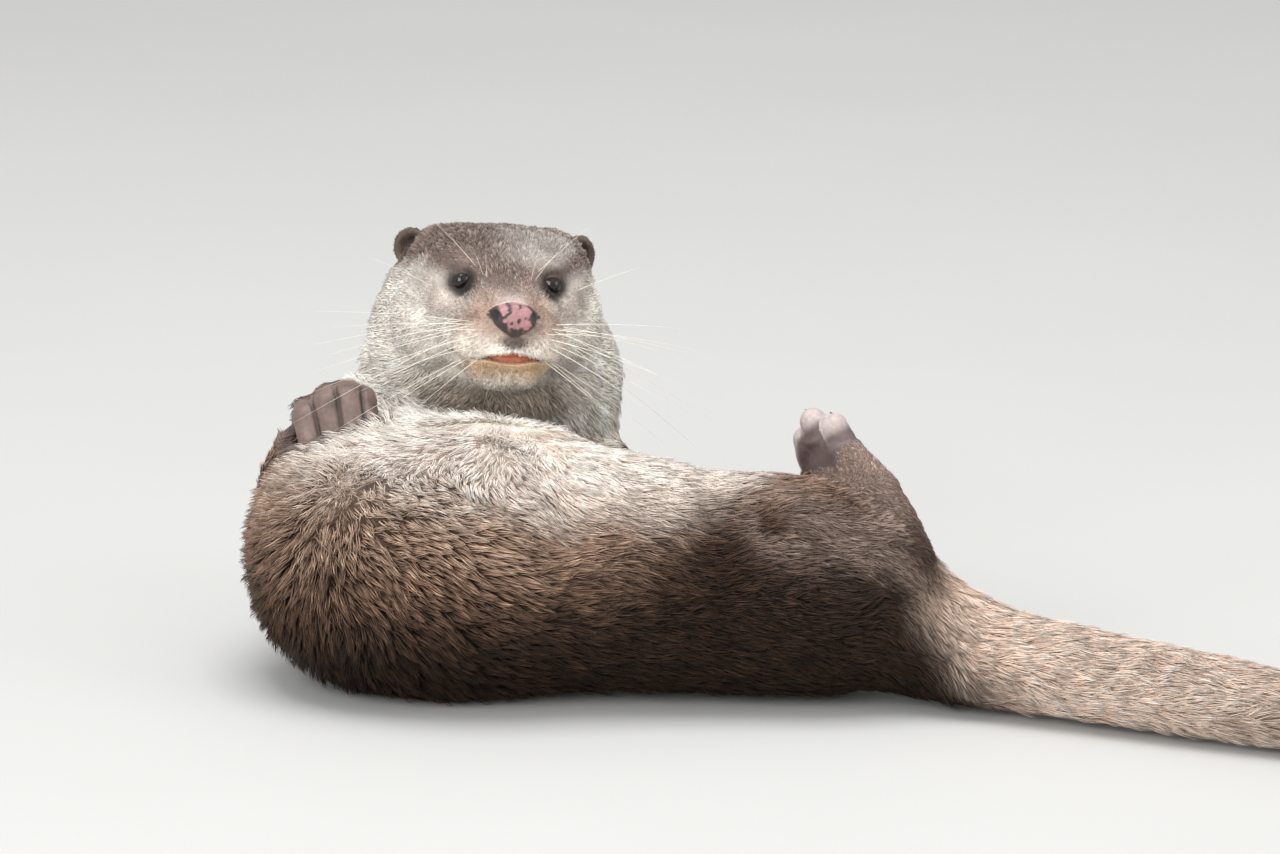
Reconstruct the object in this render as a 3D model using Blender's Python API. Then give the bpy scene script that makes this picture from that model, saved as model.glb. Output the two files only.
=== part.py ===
"""A Eurasian otter, life size, lying on its back with its head raised and its lower body curled to its left.

Metres, +Z up. The body is modelled whole, from tubes and ellipsoids that a voxel remesh welds together, and is
then parted into named pieces with thin cuts. The floor is z = 0, and the finished model is centred over it.
"""

import math
from collections import namedtuple

import bmesh
import bpy
from mathutils import Matrix, Vector

# ---------------------------------------------------------------- driving dimensions
GAP = 0.0003  # the space between two pieces that meet
FLOOR_CUT = 0.004  # how far the soft body is pressed flat where it lies on the floor
COARSE_VOXEL = 0.0042  # grain of the first weld, which blends the limbs into the trunk
FINE_VOXEL = 0.0021  # grain of the second weld, which keeps the face and the toes
BODY_TRIANGLES = 2600  # what the parted body is reduced to
BODY_SIDES = 32  # facets round a tube of the body
LIMB_SIDES = 20
TUBE_STEPS = 6  # rings between two stations of a tube
FAR = 0.40  # the size of a cutter that has to reach past everything

EYE_RADIUS = 0.0064
NOSE_SIZE = (0.0135, 0.0062, 0.0096)  # half width, half depth, half height of the nose pad
TONGUE_SIZE = (0.0130, 0.0100, 0.0034)
EAR_SIZE = (0.0108, 0.0052, 0.0112)  # half width, half thickness, half height of an ear
TOE_RADIUS = 0.0063
HIND_TOE_RADIUS = 0.0076
CLAW_LENGTH = 0.0060
CLAW_RADIUS = 0.0014

# ---------------------------------------------------------------- where the head is, and how it is turned
EYES_MIDDLE = Vector((-0.0670, 0.0550, 0.1950))  # the point midway between the eyes
HEAD_YAW = math.radians(6.5)  # turned to its own left
HEAD_PITCH = math.radians(-2.0)  # the nose dips
HEAD_ROLL = math.radians(4.3)  # the left ear hangs lower
# Places on the head: how far to the left, to the nose and to the crown of the eyes' middle.
EYE_AT = Vector((0.0224, -0.0035, 0.0))
EAR_AT = Vector((0.0440, -0.0600, 0.0030))
NOSE_AT = Vector((0.0, 0.0440, -0.0055))
TONGUE_AT = Vector((0.0, 0.0385, -0.0262))
MOUTH_DROP = 0.0255  # how far the mouth lies under the eyes

# ---------------------------------------------------------------- the joints of the limbs
SHOULDER_RIGHT = Vector((-0.1330, 0.1080, 0.0800))
ELBOW_RIGHT = Vector((-0.1790, 0.0680, 0.0730))
WRIST_RIGHT = Vector((-0.1710, 0.0610, 0.1160))
SHOULDER_LEFT = Vector((-0.0260, 0.1180, 0.0760))
ELBOW_LEFT = Vector((0.0170, 0.1100, 0.0470))
WRIST_LEFT = Vector((0.0050, 0.0980, 0.0830))
HIP_RIGHT = Vector((0.1080, -0.0280, 0.0520))
KNEE_RIGHT = Vector((0.0580, -0.0360, 0.0880))
HEEL_RIGHT = Vector((0.1375, -0.0400, 0.0745))
INSTEP_RIGHT = Vector((0.1245, -0.0260, 0.0995))
BALL_RIGHT = Vector((0.1060, -0.0110, 0.1195))
HIP_LEFT = Vector((0.1080, 0.0080, 0.0500))
KNEE_LEFT = Vector((0.0680, 0.0640, 0.0560))
HEEL_LEFT = Vector((0.1230, 0.0840, 0.0440))
INSTEP_LEFT = Vector((0.1080, 0.1000, 0.0560))
BALL_LEFT = Vector((0.0900, 0.1110, 0.0620))

# ---------------------------------------------------------------- the toes: from each root to its tip
TOES = {
    "forepaw_right": [
        [(-0.1685, 0.0500, 0.1337), (-0.1690, 0.0395, 0.1302), (-0.1660, 0.0330, 0.1192)],
        [(-0.1575, 0.0510, 0.1407), (-0.1575, 0.0395, 0.1367), (-0.1545, 0.0320, 0.1227)],
        [(-0.1475, 0.0515, 0.1432), (-0.1470, 0.0410, 0.1397), (-0.1445, 0.0330, 0.1272)],
        [(-0.1395, 0.0530, 0.1387), (-0.1390, 0.0440, 0.1362), (-0.1370, 0.0370, 0.1267)],
        [(-0.1430, 0.0600, 0.1292), (-0.1380, 0.0580, 0.1232), (-0.1360, 0.0530, 0.1162)],
    ],
    "forepaw_left": [
        [(-0.0160, 0.0825, 0.0930), (-0.0195, 0.0745, 0.0910), (-0.0205, 0.0690, 0.0830)],
        [(-0.0070, 0.0795, 0.0965), (-0.0085, 0.0695, 0.0945), (-0.0090, 0.0630, 0.0850)],
        [(0.0025, 0.0795, 0.0965), (0.0025, 0.0690, 0.0945), (0.0020, 0.0625, 0.0850)],
        [(0.0115, 0.0825, 0.0935), (0.0130, 0.0735, 0.0915), (0.0130, 0.0670, 0.0830)],
        [(0.0160, 0.0915, 0.0870), (0.0205, 0.0855, 0.0830), (0.0215, 0.0795, 0.0760)],
    ],
    "hind_foot_right": [
        [(0.1045, -0.0095, 0.1225), (0.1030, -0.0080, 0.1310), (0.0990, -0.0060, 0.1375)],
        [(0.0965, -0.0040, 0.1220), (0.0905, -0.0010, 0.1310), (0.0860, 0.0030, 0.1375)],
        [(0.0930, 0.0020, 0.1180), (0.0860, 0.0060, 0.1230), (0.0825, 0.0110, 0.1255)],
        [(0.0930, 0.0070, 0.1130), (0.0865, 0.0120, 0.1150), (0.0840, 0.0170, 0.1145)],
        [(0.0950, 0.0110, 0.1080), (0.0900, 0.0160, 0.1075), (0.0880, 0.0200, 0.1055)],
    ],
    "hind_foot_left": [
        [(0.0940, 0.1230, 0.0700), (0.0870, 0.1290, 0.0745), (0.0790, 0.1320, 0.0745)],
        [(0.0860, 0.1200, 0.0660), (0.0765, 0.1250, 0.0690), (0.0675, 0.1270, 0.0680)],
        [(0.0815, 0.1140, 0.0615), (0.0715, 0.1175, 0.0635), (0.0625, 0.1185, 0.0615)],
        [(0.0790, 0.1070, 0.0570), (0.0700, 0.1090, 0.0580), (0.0620, 0.1090, 0.0550)],
        [(0.0790, 0.1000, 0.0535), (0.0720, 0.1005, 0.0530), (0.0660, 0.0995, 0.0500)],
    ],
}

UP = Vector((0, 0, 1))
Station = namedtuple("Station", "centre front wide ahead behind square", defaults=(2.0,))
# centre: a point on the tube's own line. front: the side that "ahead" is measured to.
# wide: half width across. ahead, behind: how far the section reaches to its front and to its back.
# square: 2 is an ellipse, and more is nearer to a box.


# ---------------------------------------------------------------- making meshes
def clear_scene():
    for old in list(bpy.data.objects):
        bpy.data.objects.remove(old)


def new_object(name, shape):
    """An object of that name from a bmesh, which is freed."""
    mesh = bpy.data.meshes.new(name)
    shape.to_mesh(mesh)
    shape.free()
    made = bpy.data.objects.new(name, mesh)
    bpy.context.scene.collection.objects.link(made)
    return made


def settle(thing):
    """Applies all of an object's modifiers."""
    graph = bpy.context.evaluated_depsgraph_get()
    thing.data = bpy.data.meshes.new_from_object(thing.evaluated_get(graph))
    thing.modifiers.clear()


def copy_of(thing, name):
    made = bpy.data.objects.new(name, thing.data.copy())
    bpy.context.scene.collection.objects.link(made)
    return made


def between(values, place):
    """A smooth curve through the values, read at place, where 0 is the first and 1 the second."""
    last = len(values) - 1
    i = min(int(place), last - 1)
    t = place - i
    before, here, there, after = (values[min(max(k, 0), last)] for k in (i - 1, i, i + 1, i + 2))
    return 0.5 * (
        2 * here
        + (there - before) * t
        + (2 * before - 5 * here + 4 * there - after) * t**2
        + (3 * here - before - 3 * there + after) * t**3
    )


def stations_between(stations, steps):
    """The stations with steps smooth ones from each to the next."""
    fields = [[getattr(s, field) for s in stations] for field in Station._fields]
    places = [i / steps for i in range((len(stations) - 1) * steps + 1)]
    return [Station(*(between(values, place) for values in fields)) for place in places]


def ring(shape, station, along, sides, scale=1.0, shift=0.0):
    """One ring of corners round a station."""
    along = along.normalized()
    across = along.cross(station.front).normalized()
    front = across.cross(along).normalized()
    corners = []
    for k in range(sides):
        angle = 2 * math.pi * k / sides
        cosine, sine = (
            math.copysign(abs(part) ** (2 / station.square), part) for part in (math.cos(angle), math.sin(angle))
        )
        reach = station.ahead if sine > 0 else station.behind
        offset = across * station.wide * cosine + front * reach * sine
        corners.append(shape.verts.new(station.centre + offset * scale + along * shift))
    return corners


def add_tube(shape, stations, sides=LIMB_SIDES, steps=TUBE_STEPS, domed=True):
    """A closed tube through the stations, with domed or flat ends."""
    fine = stations_between(stations, steps)
    count = len(fine)
    alongs = [fine[min(i + 1, count - 1)].centre - fine[max(i - 1, 0)].centre for i in range(count)]
    dome = [math.radians(a) for a in (75, 50, 25) if domed]
    rings = []
    for angle in dome:
        depth = 0.8 * (fine[0].wide + fine[0].ahead) / 2
        rings.append(ring(shape, fine[0], alongs[0], sides, math.cos(angle), -depth * math.sin(angle)))
    for station, along in zip(fine, alongs):
        rings.append(ring(shape, station, along, sides))
    for angle in reversed(dome):
        depth = 0.8 * (fine[-1].wide + fine[-1].ahead) / 2
        rings.append(ring(shape, fine[-1], alongs[-1], sides, math.cos(angle), depth * math.sin(angle)))
    for first, second in zip(rings, rings[1:]):
        for k in range(sides):
            after = (k + 1) % sides
            shape.faces.new((first[k], first[after], second[after], second[k]))
    shape.faces.new(list(reversed(rings[0])))
    shape.faces.new(rings[-1])


def add_ellipsoid(shape, centre, radii, axes, segments=24):
    """An ellipsoid with its own axes as the columns of the matrix."""
    place = Matrix.Translation(centre) @ axes.to_4x4() @ Matrix.Diagonal((*radii, 1))
    bmesh.ops.create_uvsphere(shape, u_segments=segments, v_segments=segments // 2, radius=1, matrix=place)


def limb_stations(points, front, sizes):
    """Stations at the points, one size (wide, ahead, behind) each, all with the same front."""
    return [Station(p, front, *size) for p, size in zip(points, sizes)]


def weld(thing, voxel, smoothing):
    """Makes overlapping shapes one skin, then smooths the seams between them."""
    thing.modifiers.new("weld", "REMESH").voxel_size = voxel
    settle(thing)
    smooth = thing.modifiers.new("smooth", "SMOOTH")
    smooth.factor = 0.5
    smooth.iterations = smoothing
    settle(thing)


# ---------------------------------------------------------------- cutting
def boolean(thing, operation, other):
    cut = thing.modifiers.new("cut", "BOOLEAN")
    cut.operation = operation
    cut.object = other
    settle(thing)


def whole(thing):
    """Keeps the largest connected part of the object, and so drops the crumbs of a cut."""
    shape = bmesh.new()
    shape.from_mesh(thing.data)
    bmesh.ops.remove_doubles(shape, verts=shape.verts, dist=0.00001)
    bmesh.ops.dissolve_degenerate(shape, edges=shape.edges, dist=0.00001)
    left = set(shape.verts)
    parts = []
    while left:
        part, edge = set(), [left.pop()]
        while edge:
            corner = edge.pop()
            part.add(corner)
            near = {e.other_vert(corner) for e in corner.link_edges} & left
            left -= near
            edge.extend(near)
        parts.append(part)
    largest = max(parts, key=len)
    bmesh.ops.delete(shape, geom=[v for v in shape.verts if v not in largest], context="VERTS")
    shape.to_mesh(thing.data)
    shape.free()


def take_out(body, name, make_cutter):
    """Parts the body: what lies in the cutter becomes a new object, and the body keeps the rest."""
    piece = copy_of(body, name)
    for thing, operation, grow in ((piece, "INTERSECT", 0.0), (body, "DIFFERENCE", GAP)):
        cutter = make_cutter(grow)
        boolean(thing, operation, cutter)
        bpy.data.objects.remove(cutter)
        whole(thing)
    return piece


def box_cutter(start, onward, reach=FAR, across=FAR, side=UP, deep=None):
    """A maker of boxes that begin at the point and run on along a direction.

    across is the half width and deep the half depth, which is measured towards side.
    """
    onward = onward.normalized()
    width = onward.cross(side).normalized()
    depth = onward.cross(width)
    turn = Matrix((width, depth, onward)).transposed().to_4x4()

    def make(grow):
        size = (2 * (across + grow), 2 * ((deep or across) + grow), reach + 2 * grow, 1)
        shape = bmesh.new()
        place = Matrix.Translation(start + onward * reach / 2) @ turn @ Matrix.Diagonal(size)
        bmesh.ops.create_cube(shape, size=1, matrix=place)
        return new_object("cutter", shape)

    return make


def tube_cutter(points, radii):
    """A maker of tubes through the points."""

    def make(grow):
        shape = bmesh.new()
        front = (points[-1] - points[0]).orthogonal()
        add_tube(shape, round_stations(points, front, [r + grow for r in radii]), sides=10, steps=1, domed=False)
        bmesh.ops.recalc_face_normals(shape, faces=shape.faces)
        return new_object("cutter", shape)

    return make


def ball_cutter(centre, radii, axes):
    """A maker of ellipsoids."""

    def make(grow):
        shape = bmesh.new()
        add_ellipsoid(shape, centre, [r + grow for r in radii], axes, segments=12)
        bmesh.ops.recalc_face_normals(shape, faces=shape.faces)
        return new_object("cutter", shape)

    return make


def carve(body, make_cutter, grow=GAP):
    cutter = make_cutter(grow)
    boolean(body, "DIFFERENCE", cutter)
    bpy.data.objects.remove(cutter)
    whole(body)


# ---------------------------------------------------------------- the trunk, neck and tail
def trunk_stations():
    """From the pelvis along the belly, round the bend at the chest and up the neck to the skull."""
    return [
        Station(Vector((0.1460, -0.0280, 0.0370)), UP, 0.032, 0.026, 0.034),
        Station(Vector((0.1250, -0.0210, 0.0460)), UP, 0.050, 0.040, 0.048),
        Station(Vector((0.0950, -0.0150, 0.0530)), UP, 0.060, 0.053, 0.056),
        Station(Vector((0.0450, -0.0100, 0.0560)), UP, 0.062, 0.057, 0.059),
        Station(Vector((-0.0150, -0.0070, 0.0630)), UP, 0.066, 0.064, 0.066),
        Station(Vector((-0.0750, -0.0060, 0.0680)), UP, 0.070, 0.070, 0.071),
        Station(Vector((-0.1245, 0.0080, 0.0660)), UP, 0.0715, 0.0655, 0.069),
        Station(Vector((-0.1260, 0.0600, 0.0660)), UP, 0.067, 0.062, 0.069),
        Station(Vector((-0.1080, 0.1050, 0.0700)), Vector((0.05, -0.3, 1)), 0.066, 0.064, 0.070),
        Station(Vector((-0.0880, 0.1300, 0.0950)), Vector((0.1, -0.8, 0.6)), 0.069, 0.060, 0.053),
        Station(Vector((-0.0760, 0.1320, 0.1240)), Vector((0.05, -1, 0.05)), 0.071, 0.060, 0.047),
        Station(Vector((-0.0795, 0.1220, 0.1530)), Vector((0, -0.9, -0.4)), 0.0640, 0.056, 0.044),
        Station(Vector((-0.0795, 0.1010, 0.1720)), Vector((0, -0.6, -0.8)), 0.056, 0.046, 0.038),
        Station(Vector((-0.0750, 0.0860, 0.1760)), Vector((0, -0.4, -0.9)), 0.038, 0.032, 0.026),
    ]


def tail_stations():
    """A thick root that tapers to the tip, laid along the floor."""
    return [
        Station(Vector((0.1350, -0.0240, 0.0400)), UP, 0.044, 0.034, 0.042),
        Station(Vector((0.1700, -0.0400, 0.0285)), UP, 0.033, 0.030, 0.031),
        Station(Vector((0.2200, -0.0680, 0.0255)), UP, 0.0275, 0.0265, 0.028),
        Station(Vector((0.2800, -0.1010, 0.0235)), UP, 0.0245, 0.0245, 0.026),
        Station(Vector((0.3400, -0.1300, 0.0205)), UP, 0.0210, 0.0205, 0.023),
        Station(Vector((0.4000, -0.1480, 0.0165)), UP, 0.0165, 0.0160, 0.019),
        Station(Vector((0.4550, -0.1520, 0.0115)), UP, 0.0110, 0.0105, 0.014),
        Station(Vector((0.4950, -0.1460, 0.0070)), UP, 0.0055, 0.0055, 0.009),
    ]


# ---------------------------------------------------------------- the head
def head_axes():
    """The head's own left, nose and crown directions, as the columns of a matrix."""
    turn = (
        Matrix.Rotation(HEAD_YAW, 3, "Z")
        @ Matrix.Rotation(-HEAD_PITCH, 3, "X")
        @ Matrix.Rotation(HEAD_ROLL, 3, "Y")
    )
    return turn @ Matrix(((1, 0, 0), (0, -1, 0), (0, 0, 1)))


def on_head(left, nose, crown):
    """A point from its distances to the left, to the nose and to the crown of the eyes' middle."""
    return EYES_MIDDLE + head_axes() @ Vector((left, nose, crown))


def mirrored(place, side):
    """The same place on the left (side 1) or the right (side -1) of the head."""
    return on_head(side * place.x, place.y, place.z)


def head_stations():
    """Slices from the nape to the lips: distance to the nose, half width, height over and depth under the eyes."""
    slices = [
        (-0.080, 0.0440, 0.0070, 0.052, 2.6),
        (-0.062, 0.0480, 0.0165, 0.056, 3.0),
        (-0.045, 0.0490, 0.0210, 0.056, 2.9),
        (-0.030, 0.0480, 0.0225, 0.056, 2.7),
        (-0.015, 0.0435, 0.0185, 0.054, 2.4),
        (0.000, 0.0365, 0.0100, 0.051, 2.1),
        (0.014, 0.0300, 0.0040, 0.049, 2.0),
        (0.025, 0.0270, 0.0015, 0.046, 2.0),
        (0.032, 0.0215, -0.0015, 0.038, 2.0),
    ]
    crown = head_axes() @ UP
    stations = []
    for nose, wide, over, under, square in slices:
        half = (over + under) / 2
        stations.append(Station(on_head(0, nose, (over - under) / 2), crown, wide, half, half, square))
    return stations


def build_head(shape):
    axes = head_axes()
    add_tube(shape, head_stations(), sides=BODY_SIDES)
    for side in (-1, 1):
        add_ellipsoid(shape, on_head(side * 0.0150, 0.0290, -0.0200), (0.0160, 0.0180, 0.0130), axes)
        add_ellipsoid(shape, on_head(side * 0.0330, -0.0360, -0.0270), (0.0240, 0.0330, 0.0290), axes)
        add_ellipsoid(shape, on_head(side * 0.0205, -0.0100, 0.0070), (0.0125, 0.0130, 0.0075), axes)
        ear = axes @ Matrix.Rotation(side * math.radians(-28), 3, "Z") @ Matrix.Rotation(math.radians(14), 3, "X")
        add_ellipsoid(shape, mirrored(EAR_AT, side), EAR_SIZE, ear, segments=16)
    add_ellipsoid(shape, on_head(0, 0.0150, -0.0400), (0.0220, 0.0250, 0.0110), axes)
    add_ellipsoid(shape, on_head(0, 0.0330, -0.0085), (0.0150, 0.0120, 0.0100), axes)


# ---------------------------------------------------------------- the limbs
def round_stations(points, front, radii):
    """Round stations at the points."""
    return [Station(Vector(p), front, r, r, r) for p, r in zip(points, radii)]


def arm_stations(shoulder, elbow, wrist, front):
    points = [shoulder, shoulder.lerp(elbow, 0.5), elbow, elbow.lerp(wrist, 0.5), wrist]
    return round_stations(points, front, (0.030, 0.024, 0.0185, 0.0160, 0.0125))


def leg_stations(hip, knee, heel, front):
    points = [hip, hip.lerp(knee, 0.5), knee, knee.lerp(heel, 0.5), heel]
    return round_stations(points, front, (0.034, 0.031, 0.0235, 0.0210, 0.0150))


def foot_stations(heel, instep, ball, front):
    sizes = [(0.0135, 0.0135), (0.0135, 0.0120), (0.0170, 0.0095)]
    points = (heel, instep, ball)
    return [Station(p, front, wide, thick, thick) for p, (wide, thick) in zip(points, sizes)]


def toe_stations(line, radius):
    """Four stations along a toe, which is fat at the knuckle and blunt at the tip."""
    root, knuckle, tip = (Vector(p) for p in line)
    front = (root - tip).cross(UP) + Vector((0.01, 0, 0))
    points = [root, knuckle, knuckle.lerp(tip, 0.6), tip]
    return round_stations(points, front, [radius * k for k in (0.95, 1.0, 0.95, 0.75)])


def build_paw(shape, name, heart, radii, toe_radius):
    """The palm and its toes. The palm is turned to lie under the roots of its toes."""
    roots = [Vector(line[0]) for line in TOES[name]]
    across = (roots[0] - roots[-2]).normalized()
    ahead = sum((Vector(line[1]) - Vector(line[0]) for line in TOES[name][:4]), Vector()).normalized()
    palm = across.cross(ahead).normalized()
    axes = Matrix((across, palm.cross(across), palm)).transposed()
    add_ellipsoid(shape, heart, radii, axes, segments=20)
    for line in TOES[name]:
        add_tube(shape, toe_stations(line, toe_radius), sides=12, steps=3)


def claw_maker(paw, line):
    """A maker of a small hooked cone that grows from the end of a toe of the finished paw."""
    root, knuckle, tip = (Vector(p) for p in line)
    onward = (tip - knuckle).normalized()
    hook = onward - (knuckle - root).normalized()
    hit, skin, _, _ = paw.ray_cast(tip + onward * 0.03, -onward)
    points = [(skin if hit else tip) + onward * (CLAW_RADIUS / 2 + GAP)]
    for k in range(2):
        points.append(points[-1] + (onward + hook * 0.4 * (k + 1)).normalized() * CLAW_LENGTH / 2)

    def make(grow):
        shape = bmesh.new()
        ends = [points[0] - onward * grow, points[1], points[2] + onward * grow]
        radii = [CLAW_RADIUS * k + grow for k in (1.0, 0.8, 0.25)]
        add_tube(shape, round_stations(ends, onward.orthogonal(), radii), sides=5, steps=1, domed=False)
        bmesh.ops.recalc_face_normals(shape, faces=shape.faces)
        return new_object("cutter", shape)

    return make


def direction(x, y, z):
    return Vector((x, y, z)).normalized()


def main():
    clear_scene()
    shape = bmesh.new()
    add_tube(shape, trunk_stations(), sides=BODY_SIDES)
    add_tube(shape, tail_stations(), sides=BODY_SIDES)
    arm_right = arm_stations(SHOULDER_RIGHT, ELBOW_RIGHT, WRIST_RIGHT, direction(-1, -0.4, 0.1))
    arm_left = arm_stations(SHOULDER_LEFT, ELBOW_LEFT, WRIST_LEFT, direction(1, 0.2, 0.1))
    leg_right = leg_stations(HIP_RIGHT, KNEE_RIGHT, HEEL_RIGHT, direction(0, -1, 0.2))
    leg_left = leg_stations(HIP_LEFT, KNEE_LEFT, HEEL_LEFT, direction(0, 1, 0.2))
    for limb in (arm_right, arm_left, leg_right, leg_left):
        add_tube(shape, limb)
    body = new_object("body", shape)
    weld(body, COARSE_VOXEL, 10)

    shape = bmesh.new()
    shape.from_mesh(body.data)
    bpy.data.objects.remove(body)
    build_head(shape)
    build_paw(shape, "forepaw_right", Vector((-0.1590, 0.0580, 0.1305)), (0.0175, 0.0130, 0.0110), TOE_RADIUS)
    build_paw(shape, "forepaw_left", Vector((-0.0010, 0.0880, 0.0900)), (0.0170, 0.0130, 0.0110), TOE_RADIUS)
    build_paw(shape, "hind_foot_right", Vector((0.0985, -0.0035, 0.1185)), (0.0200, 0.0155, 0.0110), HIND_TOE_RADIUS)
    build_paw(shape, "hind_foot_left", BALL_LEFT, (0.0200, 0.0155, 0.0110), HIND_TOE_RADIUS)
    add_tube(shape, foot_stations(HEEL_RIGHT, INSTEP_RIGHT, BALL_RIGHT, direction(0.75, 0.25, 0.45)))
    add_tube(shape, foot_stations(HEEL_LEFT, INSTEP_LEFT, BALL_LEFT, direction(0.3, 0.5, 0.8)))
    body = new_object("body", shape)
    weld(body, FINE_VOXEL, 5)
    reduce = body.modifiers.new("reduce", "DECIMATE")
    reduce.ratio = BODY_TRIANGLES / (2 * len(body.data.polygons))
    settle(body)
    carve(body, box_cutter(Vector((0, 0, 0)), -UP, across=1.0, side=Vector((0, 1, 0))), grow=0.0)

    pieces = part_face(body) + part_limbs(body) + part_head(body) + part_trunk(body)
    for piece in pieces:
        dress(piece)
    centre_over_floor(pieces)


def part_face(body):
    """The eyes, nose pad and tongue, each in its own hollow."""
    axes = head_axes()
    pieces = []
    for side, name in ((1, "eye_left"), (-1, "eye_right")):
        eye = mirrored(EYE_AT, side)
        gaze = (axes @ Vector((side * 0.35, 1, 0.1))).normalized()
        carve(body, tube_cutter([eye, eye + gaze * 0.006, eye + gaze * 0.02], [0.0048, 0.0050, 0.0085]), 0.0)
        carve(body, ball_cutter(eye, (EYE_RADIUS,) * 3, axes))
        pieces.append(ball_cutter(eye, (EYE_RADIUS,) * 3, axes)(0.0))
        pieces[-1].name = name
    for name, place, radii in (("nose", NOSE_AT, NOSE_SIZE), ("tongue", TONGUE_AT, TONGUE_SIZE)):
        maker = ball_cutter(on_head(*place), radii, axes)
        carve(body, maker)
        pieces.append(maker(0.0))
        pieces[-1].name = name
    return pieces


def part_head(body):
    """The ears, muzzle, lower jaw and skull."""
    left, nose, crown = head_axes().transposed()
    pieces = []
    for side, name in ((1, "ear_left"), (-1, "ear_right")):
        start = on_head(side * 0.0405, -0.060, 0.001)
        pieces.append(take_out(body, name, box_cutter(start, left * side + crown * 0.35, 0.03, 0.018, crown, 0.013)))
    skull = take_out(body, "head", box_cutter(on_head(0, -0.072, 0.001), nose, 0.2, 0.09, crown, 0.0530))
    for name, back, middle in (("muzzle", 0.006, 0.05), ("lower_jaw", -0.002, -0.05)):
        start = on_head(0, back, middle - MOUTH_DROP)
        pieces.append(take_out(skull, name, box_cutter(start, nose, 0.1, 0.05, crown)))
    return pieces + [skull]


def part_limbs(body):
    """Each limb's segments, and the claws."""
    pieces = []
    for name in ("forepaw_right", "forepaw_left", "hind_foot_right", "hind_foot_left"):
        paw = take_out(body, name, PAW_BOXES[name])
        pieces.append(paw)
        for i, line in enumerate(TOES[name]):
            maker = claw_maker(paw, line)
            for flesh in (body, paw):
                carve(flesh, maker, 2 * GAP)
            pieces.append(maker(0.0))
            pieces[-1].name = "claw_%s_%d" % (name, i + 1)
    limbs = [
        ("forearm_right", ELBOW_RIGHT, WRIST_RIGHT, 0.022, 0.019),
        ("forearm_left", ELBOW_LEFT, WRIST_LEFT, 0.022, 0.019),
        ("upper_arm_right", SHOULDER_RIGHT, ELBOW_RIGHT, 0.033, 0.024),
        ("upper_arm_left", SHOULDER_LEFT, ELBOW_LEFT, 0.033, 0.024),
        ("shin_right", HEEL_RIGHT, KNEE_RIGHT, 0.020, 0.026),
        ("shin_left", HEEL_LEFT, KNEE_LEFT, 0.020, 0.026),
        ("thigh_right", KNEE_RIGHT, HIP_RIGHT, 0.030, 0.036),
        ("thigh_left", KNEE_LEFT, HIP_LEFT, 0.030, 0.036),
    ]
    for name, first, last, first_radius, last_radius in limbs:
        along = (last - first).normalized()
        points = [first - along * first_radius, first, last, last + along * last_radius]
        radii = [first_radius * 0.7, first_radius, last_radius, last_radius * 0.7]
        pieces.append(take_out(body, name, tube_cutter(points, radii)))
    return pieces


def part_trunk(body):
    """The neck, chest, flank, belly, hips and tail, by flat cuts across the spine."""
    pieces = [
        take_out(body, "neck", box_cutter(Vector((-0.079, 0.150, 0.112)), Vector((0, -0.15, 1)), 0.15, 0.1)),
        take_out(body, "chest", box_cutter(Vector((-0.10, 0.034, 0.10)), Vector((0, 1, 0)), 0.3, 0.112)),
        take_out(body, "tail_tip", box_cutter(Vector((0.38, -0.14, 0.0)), Vector((0.98, -0.2, 0)), 0.3, 0.2)),
        take_out(body, "tail_middle", box_cutter(Vector((0.27, -0.09, 0.0)), Vector((0.87, -0.5, 0)), 0.3, 0.2)),
        take_out(body, "tail_base", box_cutter(Vector((0.152, -0.03, 0.0)), Vector((0.87, -0.4, 0)), 0.3, 0.2)),
        take_out(body, "hips", box_cutter(Vector((0.055, 0.0, 0.0)), Vector((1, 0, 0)), 0.3, 0.3)),
        take_out(body, "belly", box_cutter(Vector((-0.035, 0.0, 0.0)), Vector((1, 0, 0)), 0.3, 0.3)),
    ]
    body.name = "flank"
    return pieces + [body]


FURS = {
    "eye": ("eye_black", (0.012, 0.008, 0.006), 0.1),
    "nose": ("nose_skin", (0.42, 0.22, 0.22), 0.5),
    "tongue": ("mouth_skin", (0.62, 0.25, 0.20), 0.5),
    "claw": ("claw_horn", (0.12, 0.09, 0.08), 0.5),
    "forepaw": ("paw_skin", (0.13, 0.10, 0.10), 0.7),
    "hind_foot": ("paw_skin", (0.13, 0.10, 0.10), 0.7),
    "belly": ("fur_cream", (0.62, 0.54, 0.45), 0.9),
    "neck": ("fur_cream", (0.62, 0.54, 0.45), 0.9),
    "muzzle": ("fur_cream", (0.62, 0.54, 0.45), 0.9),
    "lower_jaw": ("fur_cream", (0.62, 0.54, 0.45), 0.9),
    "tail": ("fur_fawn", (0.40, 0.29, 0.22), 0.9),
}
BROWN_FUR = ("fur_brown", (0.20, 0.14, 0.11), 0.9)


def dress(piece):
    """Gives the piece its material, by the start of its name."""
    name, colour, roughness = next((FURS[key] for key in FURS if piece.name.startswith(key)), BROWN_FUR)
    material = bpy.data.materials.get(name)
    if material is None:
        material = bpy.data.materials.new(name)
        material.use_nodes = True
        shader = material.node_tree.nodes["Principled BSDF"]
        shader.inputs["Base Color"].default_value = (*colour, 1)
        shader.inputs["Roughness"].default_value = roughness
    piece.data.materials.clear()
    piece.data.materials.append(material)


def centre_over_floor(pieces):
    """Moves every piece so that the middle of the model's box is over the origin."""
    corners = [v.co for piece in pieces for v in piece.data.vertices]
    low, high = (Vector((f(c.x for c in corners), f(c.y for c in corners), 0)) for f in (min, max))
    for piece in pieces:
        piece.data.transform(Matrix.Translation(-(low + high) / 2))
        piece.data.update()
    print("centred by", -(low + high) / 2)


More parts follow.
